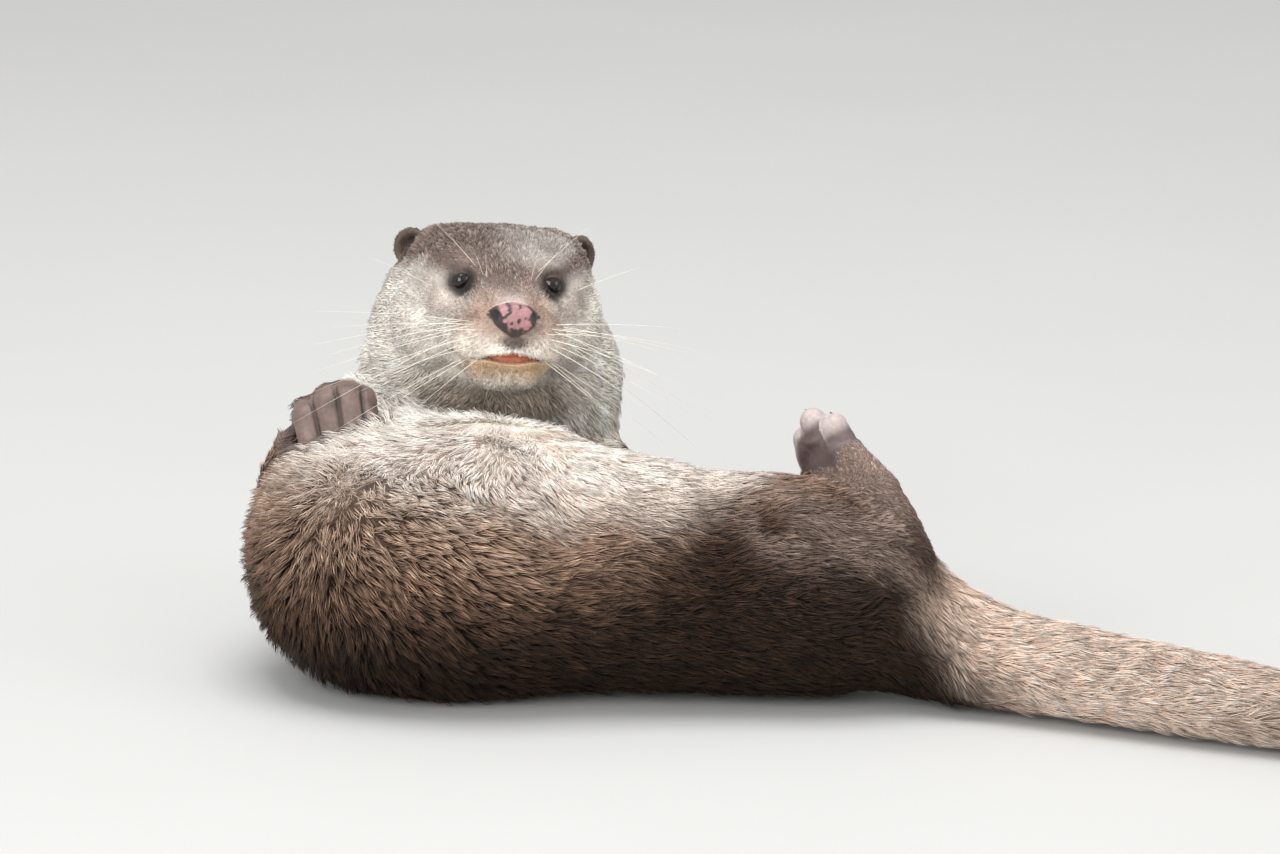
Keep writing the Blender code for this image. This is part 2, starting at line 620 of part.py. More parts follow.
PAW_BOXES = {
    "forepaw_right": box_cutter(
        Vector((-0.163, 0.0490, 0.1185)), direction(0.25, 0.0, 1.0), 0.036, 0.025, Vector((0, 1, 0)), 0.023
    ),
    "forepaw_left": box_cutter(
        Vector((0.000, 0.0940, 0.0860)), direction(0, -1.0, 0.1), 0.045, 0.028, UP, 0.020
    ),
    "hind_foot_right": box_cutter(
        INSTEP_RIGHT, BALL_RIGHT - INSTEP_RIGHT, 0.08, 0.045, direction(0.75, 0.25, 0.45), 0.026
    ),
    "hind_foot_left": box_cutter(
        INSTEP_LEFT, BALL_LEFT - INSTEP_LEFT, 0.08, 0.040, UP, 0.026
    ),
}

main()
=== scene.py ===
# %% [markdown]
# # An otter lying on its back
#
# This lesson dresses the solid model of a Eurasian otter: its skin, its coat of locks, its eyes, claws and
# whiskers. The solids come first, as a fixed frame that gives every place and size. Nothing that follows
# may grow the animal.

import math
from collections import namedtuple

import bpy
import numpy as np
from mathutils import Matrix, Vector
from mathutils.kdtree import KDTree


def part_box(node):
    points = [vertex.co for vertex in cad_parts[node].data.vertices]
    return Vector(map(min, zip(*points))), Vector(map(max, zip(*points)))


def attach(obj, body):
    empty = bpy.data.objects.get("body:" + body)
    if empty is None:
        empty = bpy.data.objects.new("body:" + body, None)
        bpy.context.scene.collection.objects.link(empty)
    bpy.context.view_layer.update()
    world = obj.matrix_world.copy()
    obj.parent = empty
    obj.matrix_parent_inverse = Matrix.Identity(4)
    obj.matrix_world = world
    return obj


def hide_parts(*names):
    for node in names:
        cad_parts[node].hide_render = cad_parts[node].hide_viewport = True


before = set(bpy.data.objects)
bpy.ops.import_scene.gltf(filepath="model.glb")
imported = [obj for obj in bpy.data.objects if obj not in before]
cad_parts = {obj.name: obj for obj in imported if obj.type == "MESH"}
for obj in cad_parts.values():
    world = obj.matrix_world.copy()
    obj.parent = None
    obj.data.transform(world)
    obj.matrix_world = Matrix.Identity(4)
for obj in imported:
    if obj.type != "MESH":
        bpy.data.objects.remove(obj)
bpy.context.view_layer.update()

# %% [markdown]
# The head is turned, nodded and rolled a little on the neck. Its own directions, towards its left ear, its
# nose and its crown, make everything on the face symmetrical and easy to place. The eyes of the solid
# model say where the head is, and how far the whole animal was shifted to stand over the middle of its
# floor.

# %% Directions of the head
HEAD_YAW, HEAD_PITCH, HEAD_ROLL = (math.radians(angle) for angle in (6.5, -2.0, 4.3))
EYE_SETBACK = 0.0035  # how far the eyeballs' middles lie behind the head's own middle
HEAD_DRAWN = (-0.0670, 0.0550, 0.1950)  # where that middle is before the shift


def middle_of(node):
    low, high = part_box(node)
    return np.array((low + high) / 2)


turned = (
    Matrix.Rotation(HEAD_YAW, 3, "Z")
    @ Matrix.Rotation(-HEAD_PITCH, 3, "X")
    @ Matrix.Rotation(HEAD_ROLL, 3, "Y")
)
HEAD_AXES = np.array(turned @ Matrix(((1, 0, 0), (0, -1, 0), (0, 0, 1))))
EYES = [middle_of("eye_left"), middle_of("eye_right")]
HEAD = sum(EYES) / 2 + EYE_SETBACK * HEAD_AXES[:, 1]
SHIFT = HEAD - HEAD_DRAWN


def size_of(vectors):
    """The length of each vector."""
    return np.linalg.norm(vectors, axis=-1)


def unit(vectors):
    return vectors / (size_of(vectors)[..., None] + 1e-12)


def to_head(places):
    """Distances to the left, to the nose and to the crown, measured from between the eyes."""
    return (places - HEAD) @ HEAD_AXES


def from_head(places):
    return np.asarray(places) @ HEAD_AXES.T + HEAD


print("between the eyes, mm:", (1000 * HEAD).round(1), "shift, mm:", (1000 * SHIFT).round(1))

# %% [markdown]
# The camera looks slightly down from far away through a long lens, as one does at a shy animal. The floor
# is plain and pale, and three big soft lamps stand for an overcast sky, with most of the light coming from
# above and from the left.

# %% Camera, floor and light
scene = bpy.context.scene
scene.view_settings.view_transform = "Standard"
LOOK_DOWN = math.radians(14)
CAMERA_FAR, AIM_UP = 5.333, 0.1345
aim = Vector(SHIFT) + Vector((0, 0, AIM_UP))
bpy.ops.object.camera_add(
    location=aim + CAMERA_FAR * Vector((0, -math.cos(LOOK_DOWN), math.sin(LOOK_DOWN))),
    rotation=(math.radians(90) - LOOK_DOWN, 0, 0),
)
camera = bpy.context.object
camera.data.lens, camera.data.sensor_width = 300, 36
camera.data.clip_start, camera.data.clip_end = 0.1, 60
scene.camera = camera

bpy.ops.mesh.primitive_plane_add(size=9, location=(0, 0, 0))
floor = bpy.context.object
floor.name = "floor"


def lamp(name, place, size, power, colour=(1, 1, 1)):
    """A square soft lamp that faces the animal."""
    towards = Vector((0, 0, 0.08)) - Vector(place)
    bpy.ops.object.light_add(
        type="AREA", location=place, rotation=towards.to_track_quat("-Z", "Y").to_euler()
    )
    light = bpy.context.object
    light.name = name
    light.data.size, light.data.energy, light.data.color = size, power, colour


lamp("lamp_above", (-0.3, -0.1, 2.4), 1.6, 43)
lamp("lamp_left", (-1.5, -2.4, 1.5), 1.8, 52)
lamp("lamp_right", (2.2, -1.2, 1.2), 1.6, 16)
world = bpy.data.worlds.new("sky")
scene.world = world
world.use_nodes = True
world.node_tree.nodes["Background"].inputs[0].default_value = (0.98, 0.975, 0.96, 1)
world.node_tree.nodes["Background"].inputs[1].default_value = 0.72

# %% [markdown]
# Finishes are built from nodes by a few helpers, so that each one later reads as a short recipe: a colour,
# some noise to break it up, and a bump. A constant value goes straight on the shader's own socket.

# %% Helpers for finishes


def srgb(red, green, blue):
    """A colour as the eye counts it, 0 to 255, as the light that a shader works with."""
    value = np.array((red, green, blue), float) / 255
    return np.where(value <= 0.04045, value / 12.92, ((value + 0.055) / 1.055) ** 2.4)


class Finish:
    """A material with a Principled shader and short ways to add nodes to it."""

    def __init__(self, name, roughness=0.6, colour=(0.5, 0.5, 0.5)):
        self.material = bpy.data.materials.new(name)
        self.material.use_nodes = True
        self.tree = self.material.node_tree
        self.shader = self.tree.nodes["Principled BSDF"]
        self.shader.inputs["Roughness"].default_value = roughness
        self.shader.inputs["Base Color"].default_value = (*colour, 1)
        self.places = self.add("ShaderNodeTexCoord").outputs["Object"]

    def add(self, kind, **settings):
        node = self.tree.nodes.new(kind)
        for key, value in settings.items():
            setattr(node, key, value)
        return node

    def join(self, output, socket):
        self.tree.links.new(output, socket)

    def noise(self, scale, detail=3.0, places=None):
        node = self.add("ShaderNodeTexNoise")
        node.inputs["Scale"].default_value, node.inputs["Detail"].default_value = scale, detail
        self.join(places or self.places, node.inputs["Vector"])
        return node.outputs["Fac"]

    def cells(self, scale, feature="F1"):
        node = self.add("ShaderNodeTexVoronoi", feature=feature)
        node.inputs["Scale"].default_value = scale
        self.join(self.places, node.inputs["Vector"])
        return node.outputs["Distance"]

    def spread(self, value, low, high, to_low=0.0, to_high=1.0):
        """A value between low and high, laid out between two others."""
        node = self.add("ShaderNodeMapRange")
        for place, number in enumerate((low, high, to_low, to_high), 1):
            node.inputs[place].default_value = number
        self.join(value, node.inputs["Value"])
        return node.outputs["Result"]

    def blend(self, amount, first, second, kind="MIX"):
        """Two colours, each an output or three numbers, blended by an amount."""
        node = self.add("ShaderNodeMix", data_type="RGBA", blend_type=kind)
        for socket, value in ((node.inputs[0], amount), (node.inputs[6], first), (node.inputs[7], second)):
            if hasattr(value, "is_linked"):
                self.join(value, socket)
            elif socket == node.inputs[0]:
                socket.default_value = value
            else:
                socket.default_value = (*value, 1)
        return node.outputs[2]

    def attribute(self, name, output="Color"):
        return self.add("ShaderNodeAttribute", attribute_name=name).outputs[output]

    def paint(self, colour):
        self.join(colour, self.shader.inputs["Base Color"])

    def bump(self, height, depth, strength=1.0):
        node = self.add("ShaderNodeBump")
        node.inputs["Strength"].default_value = strength
        node.inputs["Distance"].default_value = depth
        self.join(height, node.inputs["Height"])
        if self.shader.inputs["Normal"].is_linked:
            self.join(self.shader.inputs["Normal"].links[0].from_socket, node.inputs["Normal"])
        self.join(node.outputs["Normal"], self.shader.inputs["Normal"])


def dress(piece, finish):
    """Gives a piece its finish and its slot, and lets it ride on the body."""
    piece.data.materials.clear()
    piece.data.materials.append(finish.material)
    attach(piece, "root")


paper = Finish("floor_paper", roughness=0.85)
paper.paint(paper.blend(paper.noise(3), (0.52, 0.52, 0.51), (0.56, 0.56, 0.55)))
floor.data.materials.append(paper.material)

# %% [markdown]
# One skin replaces all the parted flesh. Copies of the solids are joined and welded by a voxel remesh,
# which closes the hairline gaps. The eyeballs go into the weld too, so that there are no pits where the
# lids will be.

# %% The welded skin
SKIN_VOXEL = 0.0030
CLAWS = sorted(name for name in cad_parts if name.startswith("claw_"))
BALLS = ["eye_left", "eye_right"]
FLESH = sorted(set(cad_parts) - set(CLAWS) - set(BALLS))


def only(piece):
    """Selects one piece, and makes it the one that the operators work on."""
    bpy.ops.object.select_all(action="DESELECT")
    piece.select_set(True)
    bpy.context.view_layer.objects.active = piece


def joined_copy(nodes, name):
    """Copies of several solids as one loose piece."""
    bpy.ops.object.select_all(action="DESELECT")
    for node in nodes:
        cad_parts[node].select_set(True)
    bpy.context.view_layer.objects.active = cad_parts[nodes[0]]
    bpy.ops.object.duplicate()
    bpy.ops.object.join()
    piece = bpy.context.object
    piece.name, piece.parent = name, None
    for key in list(piece.keys()):
        del piece[key]
    piece.data.materials.clear()
    face_outward(piece, weld=0.00002)
    return piece


def face_outward(piece, weld=0.0):
    """Turns the faces of a closed piece outwards; points nearer to each other than weld become one."""
    only(piece)
    bpy.ops.object.mode_set(mode="EDIT")
    bpy.ops.mesh.select_all(action="SELECT")
    if weld:
        bpy.ops.mesh.remove_doubles(threshold=weld)
    bpy.ops.mesh.normals_make_consistent(inside=False)
    bpy.ops.object.mode_set(mode="OBJECT")


def apply(piece, kind, **settings):
    """Adds a modifier and applies it."""
    only(piece)
    modifier = piece.modifiers.new(kind.lower(), kind)
    for key, value in settings.items():
        setattr(modifier, key, value)
    bpy.ops.object.modifier_apply(modifier=modifier.name)


def points_of(piece):
    places = np.empty(len(piece.data.vertices) * 3, np.float32)
    piece.data.vertices.foreach_get("co", places)
    return places.reshape(-1, 3).astype(float)


def set_points(piece, places):
    piece.data.vertices.foreach_set("co", places.astype(np.float32).ravel())
    piece.data.update()


def normals_of(piece):
    facing = np.empty(len(piece.data.vertices) * 3, np.float32)
    piece.data.vertex_normals.foreach_get("vector", facing)
    return facing.reshape(-1, 3).astype(float)


def ease(value, low, high):
    """0 below low, 1 above high, and a smooth step between."""
    share = np.clip((value - low) / (high - low), 0, 1)
    return share * share * (3 - 2 * share)


skin = joined_copy(FLESH + BALLS, "skin")
apply(skin, "REMESH", mode="VOXEL", voxel_size=SKIN_VOXEL, adaptivity=0.0, use_smooth_shade=True)
print("welded skin:", len(skin.data.polygons), "faces")

# %% [markdown]
# Everything that runs along the body, such as the way the hair lies, how long it is and where the cream of
# the belly ends, follows five guides: one through the trunk and the tail, and one through each leg. Each
# stop says where it is, which way the belly faces, how thick the animal is, how far round the cream goes,
# how long the hair is and how deep it stands.

# %% Guides along the body
MM = 0.001


def shifted(*place):
    """A place in metres as it was drawn, moved along with the model."""
    return np.array(place) + SHIFT


# Each row: place in millimetres, front, size in millimetres, cream, and millimetres of hair and of depth.
HEAD_STOPS = [  # left, nose and crown
    ((0, 30, -16), (0, -0.4, -1), 34, -0.6, 4.5, 1.6),
    ((0, 0, -20), (0, -0.4, -1), 44, -0.6, 5.5, 2),
    ((0, -40, -22), (0, -0.4, -1), 50, -0.6, 8, 3),
]
TRUNK = [  # east, north and up
    ((-79.5, 122, 153), (0, -0.9, -0.4), 58, -0.55, 12, 4.5),
    ((-76, 132, 124), (0.05, -1, 0.05), 62, -0.5, 13, 5),
    ((-88, 130, 95), (0.1, -0.8, 0.6), 62, -0.1, 13.5, 5.5),
    ((-108, 105, 70), (0.05, -0.3, 1), 67, 0.25, 14, 6),
    ((-126, 60, 66), (0, 0, 1), 67, 0.55, 14.5, 6),
    ((-124.5, 8, 66), (0, 0, 1), 69, 0.62, 15, 6.2),
    ((-75, -6, 68), (0, 0, 1), 70, 0.52, 15, 6.2),
    ((-15, -7, 63), (0, 0, 1), 66, 0.57, 14.5, 6),
    ((45, -10, 56), (0, 0, 1), 60, 0.86, 14, 5.5),
    ((95, -15, 53), (0, 0, 1), 56, 1.30, 13, 5),
    ((125, -21, 46), (0, 0, 1), 46, 1.20, 13, 5),
    ((170, -40, 28.5), (0, 0, 1), 32, 0.30, 17.5, 5),
    ((220, -68, 25.5), (0, 0, 1), 27, 0.50, 19, 5),
    ((280, -101, 23.5), (0, 0, 1), 25, 0.70, 18.5, 4.8),
    ((340, -130, 20.5), (0, 0, 1), 21, 0.90, 16.5, 4.2),
    ((400, -148, 16.5), (0, 0, 1), 17, 1.20, 13, 3.5),
    ((455, -152, 11.5), (0, 0, 1), 12, 1.20, 11, 2.6),
    ((495, -146, 7), (0, 0, 1), 7, 1.20, 9, 1.8),
]
ARM_RIGHT = [
    ((-133, 108, 80), (0, -0.3, 1), 26, 1.2, 12, 4.5),
    ((-179, 68, 73), (0, -0.3, 1), 20, 1.2, 9, 3.5),
    ((-171, 61, 116), (1, 0, 0), 16, 1.2, 6, 1.6),
    ((-159, 58, 130.5), (1, 0, 0), 18, 1.2, 3, 0.6),
    ((-153, 44, 133), (1, 0, 0), 18, 1.2, 2, 0.2),
]
ARM_LEFT = [
    ((-26, 118, 76), (0, -0.3, 1), 26, 1.2, 12, 4.5),
    ((17, 110, 47), (0, -0.3, 1), 20, 1.2, 9, 3.5),
    ((5, 98, 83), (-1, 0, 0), 14, 1.2, 6, 1.6),
    ((-2, 82, 92), (-1, 0, 0), 18, 1.2, 2.5, 0.4),
    ((-2, 70, 90), (-1, 0, 0), 18, 1.2, 2, 0.2),
]
LEG_RIGHT = [
    ((108, -28, 52), (0, 0, 1), 30, 1.2, 13, 5),
    ((58, -36, 88), (0, 0, 1), 26, 1.2, 12, 4.5),
    ((137.5, -40, 74.5), (0, 0, 1), 20, 1.2, 8, 2.8),
    ((124.5, -26, 99.5), (-1, 0, 0), 18, 1.2, 5, 1.6),
    ((106, -11, 119.5), (-1, 0, 0), 18, 1.2, 3.2, 0.6),
    ((97, -3, 122), (-1, 0, 0), 21, 1.2, 2.6, 0.4),
    ((88, 4, 128), (-1, 0, 0), 21, 1.2, 2.2, 0.2),
]
LEG_LEFT = [
    ((108, 8, 50), (0, 0, 1), 30, 1.2, 13, 5),
    ((68, 64, 56), (0, 0, 1), 26, 1.2, 12, 4.5),
    ((123, 84, 44), (0, 0, 1), 20, 1.2, 8, 2.8),
    ((108, 100, 56), (-1, 0, 0), 18, 1.2, 5, 1.6),
    ((90, 111, 62), (-1, 0, 0), 20, 1.2, 3, 0.6),
    ((72, 117, 64), (-1, 0, 0), 22, 1.2, 2.4, 0.2),
]


def stops(rows, place_of=lambda place: place + SHIFT):
    """The same rows as arrays of ten numbers, in metres and in the model's own place."""
    return [
        np.array((*place_of(np.array(place) * MM), *front, size * MM, cream, hair * MM, depth * MM))
        for place, front, size, cream, hair, depth in rows
    ]


GUIDES = {
    "trunk": stops(HEAD_STOPS, from_head) + stops(TRUNK),
    "arm_right": stops(ARM_RIGHT),
    "arm_left": stops(ARM_LEFT),
    "leg_right": stops(LEG_RIGHT),
    "leg_left": stops(LEG_LEFT),
}
GUIDE_STEP = 0.006  # the distance between two beads of a guide


def beads_of(guide):
    """A guide as a row of beads: place, direction, front, size, cream, hair, depth and the length so far."""
    rows = np.array(guide)
    along = np.concatenate([[0], np.cumsum(size_of(np.diff(rows[:, :3], axis=0)))])
    steps = np.linspace(0, along[-1], max(3, round(along[-1] / GUIDE_STEP)))
    rows = np.stack([np.interp(steps, along, column) for column in rows.T], axis=1)
    smooth = np.gradient(rows[:, :3], axis=0)
    for _ in range(3):
        smooth[1:-1] = (smooth[:-2] + 2 * smooth[1:-1] + smooth[2:]) / 4
    return rows, unit(smooth), steps


BEADS = {name: beads_of(guide) for name, guide in GUIDES.items()}
BEAD_ROWS, BEAD_WAYS, BEAD_ALONG = (np.concatenate(parts) for parts in zip(*BEADS.values()))
BEAD_GUIDE = np.repeat(np.arange(len(BEADS)), [len(steps) for _, _, steps in BEADS.values()])
print("guides:", {name: len(steps) for name, (_, _, steps) in BEADS.items()})

# %% [markdown]
# A point of the skin reads its nearest beads, each counted by its distance in sizes of the body there, so
# that a thin leg rules over its own skin and hands over gently to the trunk.

# %% Reading the guides
BLEND_SHARPNESS = 9.0
BLOCK = 20000  # places read at a time, to spare memory
Reading = namedtuple("Reading", "way front cream hair depth spine share along")


def read_guides(places):
    """What the guides say at each of many places."""
    found = []
    for start in range(0, len(places), BLOCK):
        block = places[start : start + BLOCK]
        apart = size_of(block[:, None] - BEAD_ROWS[None, :, :3]) / BEAD_ROWS[:, 6]
        weight = np.exp(-BLEND_SHARPNESS * (apart - apart.min(axis=1, keepdims=True)))
        weight /= weight.sum(axis=1, keepdims=True)
        share = np.stack([weight[:, BEAD_GUIDE == one].sum(axis=1) for one in range(len(GUIDES))], axis=1)
        row = weight @ BEAD_ROWS
        found.append((
            weight @ BEAD_WAYS, row[:, 3:6], row[:, 7], row[:, 8], row[:, 9],
            row[:, :3], share, weight @ BEAD_ALONG,
        ))
    return Reading(*(np.concatenate(parts) for parts in zip(*found)))


skin_points = points_of(skin)
reading = read_guides(skin_points)
on_face = ease(to_head(skin_points)[:, 1], -0.045, -0.015) * (size_of(to_head(skin_points)) < 0.09)
print("the face holds", int((on_face > 0.5).sum()), "points of the skin")

# %% [markdown]
# The toes are round bars side by side, bent at the knuckle. A list of their joints, root, knuckle and tip,
# says how far any place is from the skin of the nearest toe. The palms are short thick bars of the same
# kind.

# %% Toes and palms
FAR = 9.0  # further than anything here
TOES = {  # radius; root, knuckle and tip of each toe, all in millimetres
    "fore_right": (6.1, [
        ((-168.5, 50, 133.7), (-169, 39.5, 130.2), (-166, 33, 119.2)),
        ((-157.5, 51, 140.7), (-157.5, 39.5, 136.7), (-154.5, 32, 122.7)),
        ((-147.5, 51.5, 143.2), (-147, 41, 139.7), (-144.5, 33, 127.2)),
        ((-139.5, 53, 138.7), (-139, 44, 136.2), (-137, 37, 126.7)),
        ((-143, 60, 129.2), (-138, 58, 123.2), (-136, 53, 116.2)),
    ]),
    "fore_left": (6, [
        ((-16, 82.5, 93), (-19.5, 74.5, 91), (-20.5, 69, 83)),
        ((-7, 79.5, 96.5), (-8.5, 69.5, 94.5), (-9, 63, 85)),
        ((2.5, 79.5, 96.5), (2.5, 69, 94.5), (2, 62.5, 85)),
        ((11.5, 82.5, 93.5), (13, 73.5, 91.5), (13, 67, 83)),
        ((16, 91.5, 87), (20.5, 85.5, 83), (21.5, 79.5, 76)),
    ]),
    "hind_right": (6.2, [
        ((104, -9.5, 121), (101, -8, 130), (97.5, -5.8, 136.6)),
        ((96.5, -4, 121), (90.5, -1, 130.5), (86.4, 3, 137.2)),
        ((94, 2, 118), (87.5, 6, 123.5), (84.5, 10, 126.5)),
        ((94, 7, 113), (88.5, 12, 116), (86.5, 16, 116.5)),
        ((95.5, 11, 108), (91.5, 15, 108.5), (90, 18.5, 107.5)),
    ]),
    "hind_left": (7.2, [
        ((94, 123, 70), (87, 129, 74.5), (79, 132, 74.5)),
        ((86, 120, 66), (76.5, 125, 69), (67.5, 127, 68)),
        ((81.5, 114, 61.5), (71.5, 117.5, 63.5), (62.5, 118.5, 61.5)),
        ((79, 107, 57), (70, 109, 58), (62, 109, 55)),
        ((79, 100, 53.5), (72, 100.5, 53), (66, 99.5, 50)),
    ]),
}
PALMS = {  # the two ends and the radius of the bar
    "fore_right": ((-166, 60, 124), (-155, 52, 133), 15),
    "fore_left": ((-2, 90, 89), (-2, 82, 91), 14.5),
    "hind_right": ((111, -15, 115), (96, -2, 118), 13.5),
    "hind_left": ((95, 110, 61), (85, 112, 62), 15),
}


def to_bar(places, first, last):
    """The way from the nearest point of a straight bar to each place, and how far along the bar it is."""
    first, last = (np.array(end) * MM + SHIFT for end in (first, last))
    span = last - first
    along = np.clip((places - first) @ span / (span @ span), 0, 1)
    return places - first - along[:, None] * span, along


def off_toes(places):
    """For each toe in turn: the way off it, how far its skin is, and how far along it the place is."""
    for radius, toes in TOES.values():
        for root, knuckle, tip in toes:
            one, one_along = to_bar(places, root, knuckle)
            two, two_along = to_bar(places, knuckle, tip)
            nearer = size_of(one) < size_of(two)
            away = np.where(nearer[:, None], one, two)
            share = np.where(nearer, one_along / 2, 0.5 + two_along / 2)
            yield unit(away), size_of(away) - radius * MM, share


def off_paws(places):
    """How far each place is from the nearest toe and the next, the way off, the toe's share, and a palm."""
    off = np.full(len(places), FAR)
    second, palm = off.copy(), off.copy()
    outward, share = np.zeros((len(places), 3)), np.zeros(len(places))
    for way, apart, along in off_toes(places):
        better = apart < off
        second = np.where(better, off, np.minimum(second, apart))
        off = np.where(better, apart, off)
        outward[better] = way[better]
        share = np.where(better, along, share)
    for first, last, radius in PALMS.values():
        palm = np.minimum(palm, size_of(to_bar(places, first, last)[0]) - radius * MM)
    return off, second, outward, share, palm


print("toes:", sum(len(toes) for _, toes in TOES.values()))

# %% [markdown]
# The solids are faceted, so the welded skin is smoothed: hard on the trunk, where the coat hides all small
# forms, and lightly on the face, the ears and the paws. A vertex group says how much. Thigh and shin leave
# a hollow between them, which real flesh fills, so it is swollen there before and after a smoothing of its
# own.

# %% Smoothing
HAUNCH = (0.078, -0.045, 0.098)
PAWS_AND_FACE = 0.34  # how strongly the small forms are smoothed, beside the trunk's 1
EAR = np.array((0.044, -0.060, 0.003))  # the left ear's middle on the head
EARS = {1: EAR, -1: EAR * (-1, 1, 1)}  # the left and the right
EAR_REACH = 0.022


def near(places, middle, reach):
    return size_of(places - middle) < reach


def near_an_ear(in_head, reach):
    return near(in_head, EARS[1], reach) | near(in_head, EARS[-1], reach)


def group_of(piece, name, weights):
    group = piece.vertex_groups.new(name=name)
    for level in range(11):
        chosen = np.flatnonzero(np.round(weights * 10) == level)
        if len(chosen) and level:
            group.add(chosen.tolist(), level / 10, "REPLACE")
    return group.name


in_head = to_head(skin_points)
small = np.maximum(on_face, 1 - ease(reading.depth, 0.0010, 0.0040)) * (1 - PAWS_AND_FACE)
toe_off, _, _, _, palm_off = off_paws(skin_points)
small = np.maximum(small, 0.9 * near_an_ear(in_head, 0.021))
small = np.maximum(small, 0.9 * (1 - ease(np.minimum(toe_off, palm_off), 0.004, 0.010)))
soft = group_of(skin, "soft", 1 - small)
apply(skin, "SMOOTH", factor=0.6, iterations=16, vertex_group=soft)
FIRST_FILLS = [  # where, how far it reaches and how far it moves the skin
    ((0.079, -0.046, 0.097), 0.024, (0, -0.0025, 0.0065)),  # between thigh and shin
    ((0.072, -0.012, 0.112), 0.020, (0, 0, 0.0020)),  # groin
    ((-0.188, 0.062, 0.096), 0.030, (-0.0055, 0, 0.0010)),  # forearm
    ((-0.136, 0.098, 0.130), 0.036, (-0.0085, -0.0010, 0)),  # side of the neck over the right paw
]
LAST_FILLS = [
    ((0.079, -0.048, 0.099), 0.022, (0, -0.0012, 0.0034)),
    ((0.067, -0.047, 0.099), 0.018, (0, -0.0012, 0.0032)),
]


def swollen(places, fills):
    for middle, reach, push in fills:
        fade = np.clip(1 - ((places - shifted(*middle)) ** 2).sum(axis=1) / reach**2, 0, 1) ** 2
        places = places + fade[:, None] * push
    return places


skin_points = swollen(points_of(skin), FIRST_FILLS)
set_points(skin, skin_points)
haunch_group = group_of(skin, "haunch", 1 - ease(size_of(skin_points - shifted(*HAUNCH)), 0.024, 0.046))
apply(skin, "SMOOTH", factor=0.9, iterations=90, vertex_group=haunch_group)
set_points(skin, swollen(points_of(skin), LAST_FILLS))

# %% [markdown]
# The skin is unwrapped now, while it is still even, so that each lock of the coat can later find its own
# small place on the map. Then the face and the paws get finer faces, for the lids, the nostrils and the
# lips.

# %% Unwrapping and refining
FACE_FINE = 0.066  # how far from between the eyes the skin is refined once
PAW_REACH = 0.006  # how far from the toes and the palms too
RIGHT_PAWS = 0.064  # the right toes lie south of here
FINE_SPOTS = [  # left, nose, crown and reach of what is refined again
    (0.0224, 0.003, 0.0, 0.0135),
    (-0.0224, 0.003, 0.0, 0.0135),
    (0.0, 0.044, -0.006, 0.0185),
    (0.0, 0.040, -0.027, 0.0200),
    (0.020, 0.034, -0.029, 0.0120),
    (-0.020, 0.034, -0.029, 0.0120),
]
only(skin)
bpy.ops.object.mode_set(mode="EDIT")
bpy.ops.mesh.select_all(action="SELECT")
bpy.ops.uv.smart_project(angle_limit=math.radians(60), island_margin=0.004)
bpy.ops.object.mode_set(mode="OBJECT")
skin.data.uv_layers[0].name = "OFBake"


def refine(chosen):
    """Splits the faces whose corners are all chosen into four."""
    only(skin)
    bpy.ops.object.mode_set(mode="EDIT")
    bpy.ops.mesh.select_all(action="DESELECT")
    bpy.ops.object.mode_set(mode="OBJECT")
    faces = np.zeros(len(skin.data.polygons), bool)
    for place, face in enumerate(skin.data.polygons):
        faces[place] = all(chosen[corner] for corner in face.vertices)
    skin.data.polygons.foreach_set("select", faces)
    bpy.ops.object.mode_set(mode="EDIT")
    bpy.ops.mesh.select_mode(type="FACE")
    bpy.ops.mesh.subdivide(number_cuts=1, smoothness=0)
    bpy.ops.object.mode_set(mode="OBJECT")
    print("refined:", int(faces.sum()), "faces, now", len(skin.data.polygons))


def small_forms():
    """Which points of the skin lie on an ear or a paw, on the face, in its fine spots, and on a right toe."""
    places = points_of(skin)
    in_head = to_head(places)
    toe_off, _, _, _, palm_off = off_paws(places)
    ear_or_paw = near_an_ear(in_head, EAR_REACH) | (np.minimum(toe_off, palm_off) < PAW_REACH)
    face = near(in_head, 0, FACE_FINE) & (in_head[:, 1] > -0.02)
    spots = np.any([near(in_head, spot[:3], spot[3]) for spot in FINE_SPOTS], axis=0)
    return ear_or_paw, face, spots, (toe_off < 0.003) & (places[:, 1] - SHIFT[1] < RIGHT_PAWS)


ear_or_paw, face, _, _ = small_forms()
refine(ear_or_paw | face)
_, _, spots, right_toes = small_forms()
refine(spots | right_toes)
ear_or_paw, _, spots, _ = small_forms()
relax = group_of(skin, "relax", (spots | ear_or_paw) * 1.0)
apply(skin, "SMOOTH", factor=0.5, iterations=5, vertex_group=relax)

# %% [markdown]
# The coat stands over the skin, so the skin now goes in by the coat's depth: six millimetres on the trunk,
# nine at the shoulder, where the hair stands out, little more than one on the face, and nothing on the
# paws. Where the animal lies on the floor it is pressed flat.

# %% Room for the coat
skin_points, facing = points_of(skin), normals_of(skin)
reading = read_guides(skin_points)
in_head = to_head(skin_points)
FACE_DEPTH, SHOULDER_DEPTH = 0.0012, 0.0030  # the second is added
GROIN = (0.070, -0.012, 0.116)
ON_FLOOR = 0.0012  # the lowest that the skin lies, over the flattened hair
face = ease(in_head[:, 1], -0.050, 0.0) * near(in_head, 0, 0.085)
depth = reading.depth * (1 - face) + np.minimum(reading.depth, FACE_DEPTH) * face
toe_off, _, _, _, palm_off = off_paws(skin_points)
east, north, up = (skin_points - SHIFT).T
by_shoulder = (1 - ease(east, -0.130, -0.075)) * (1 - ease(north, 0.010, 0.045)) * ease(up, 0.03, 0.06)
depth += SHOULDER_DEPTH * by_shoulder
depth *= ease(np.minimum(toe_off, palm_off), 0.003, 0.010)
for ear in EARS.values():
    depth *= 0.2 + 0.8 * ease(size_of(in_head - ear), 0.016, 0.026)
depth *= 0.2 + 0.8 * ease(size_of(skin_points - shifted(*GROIN)), 0.015, 0.040)
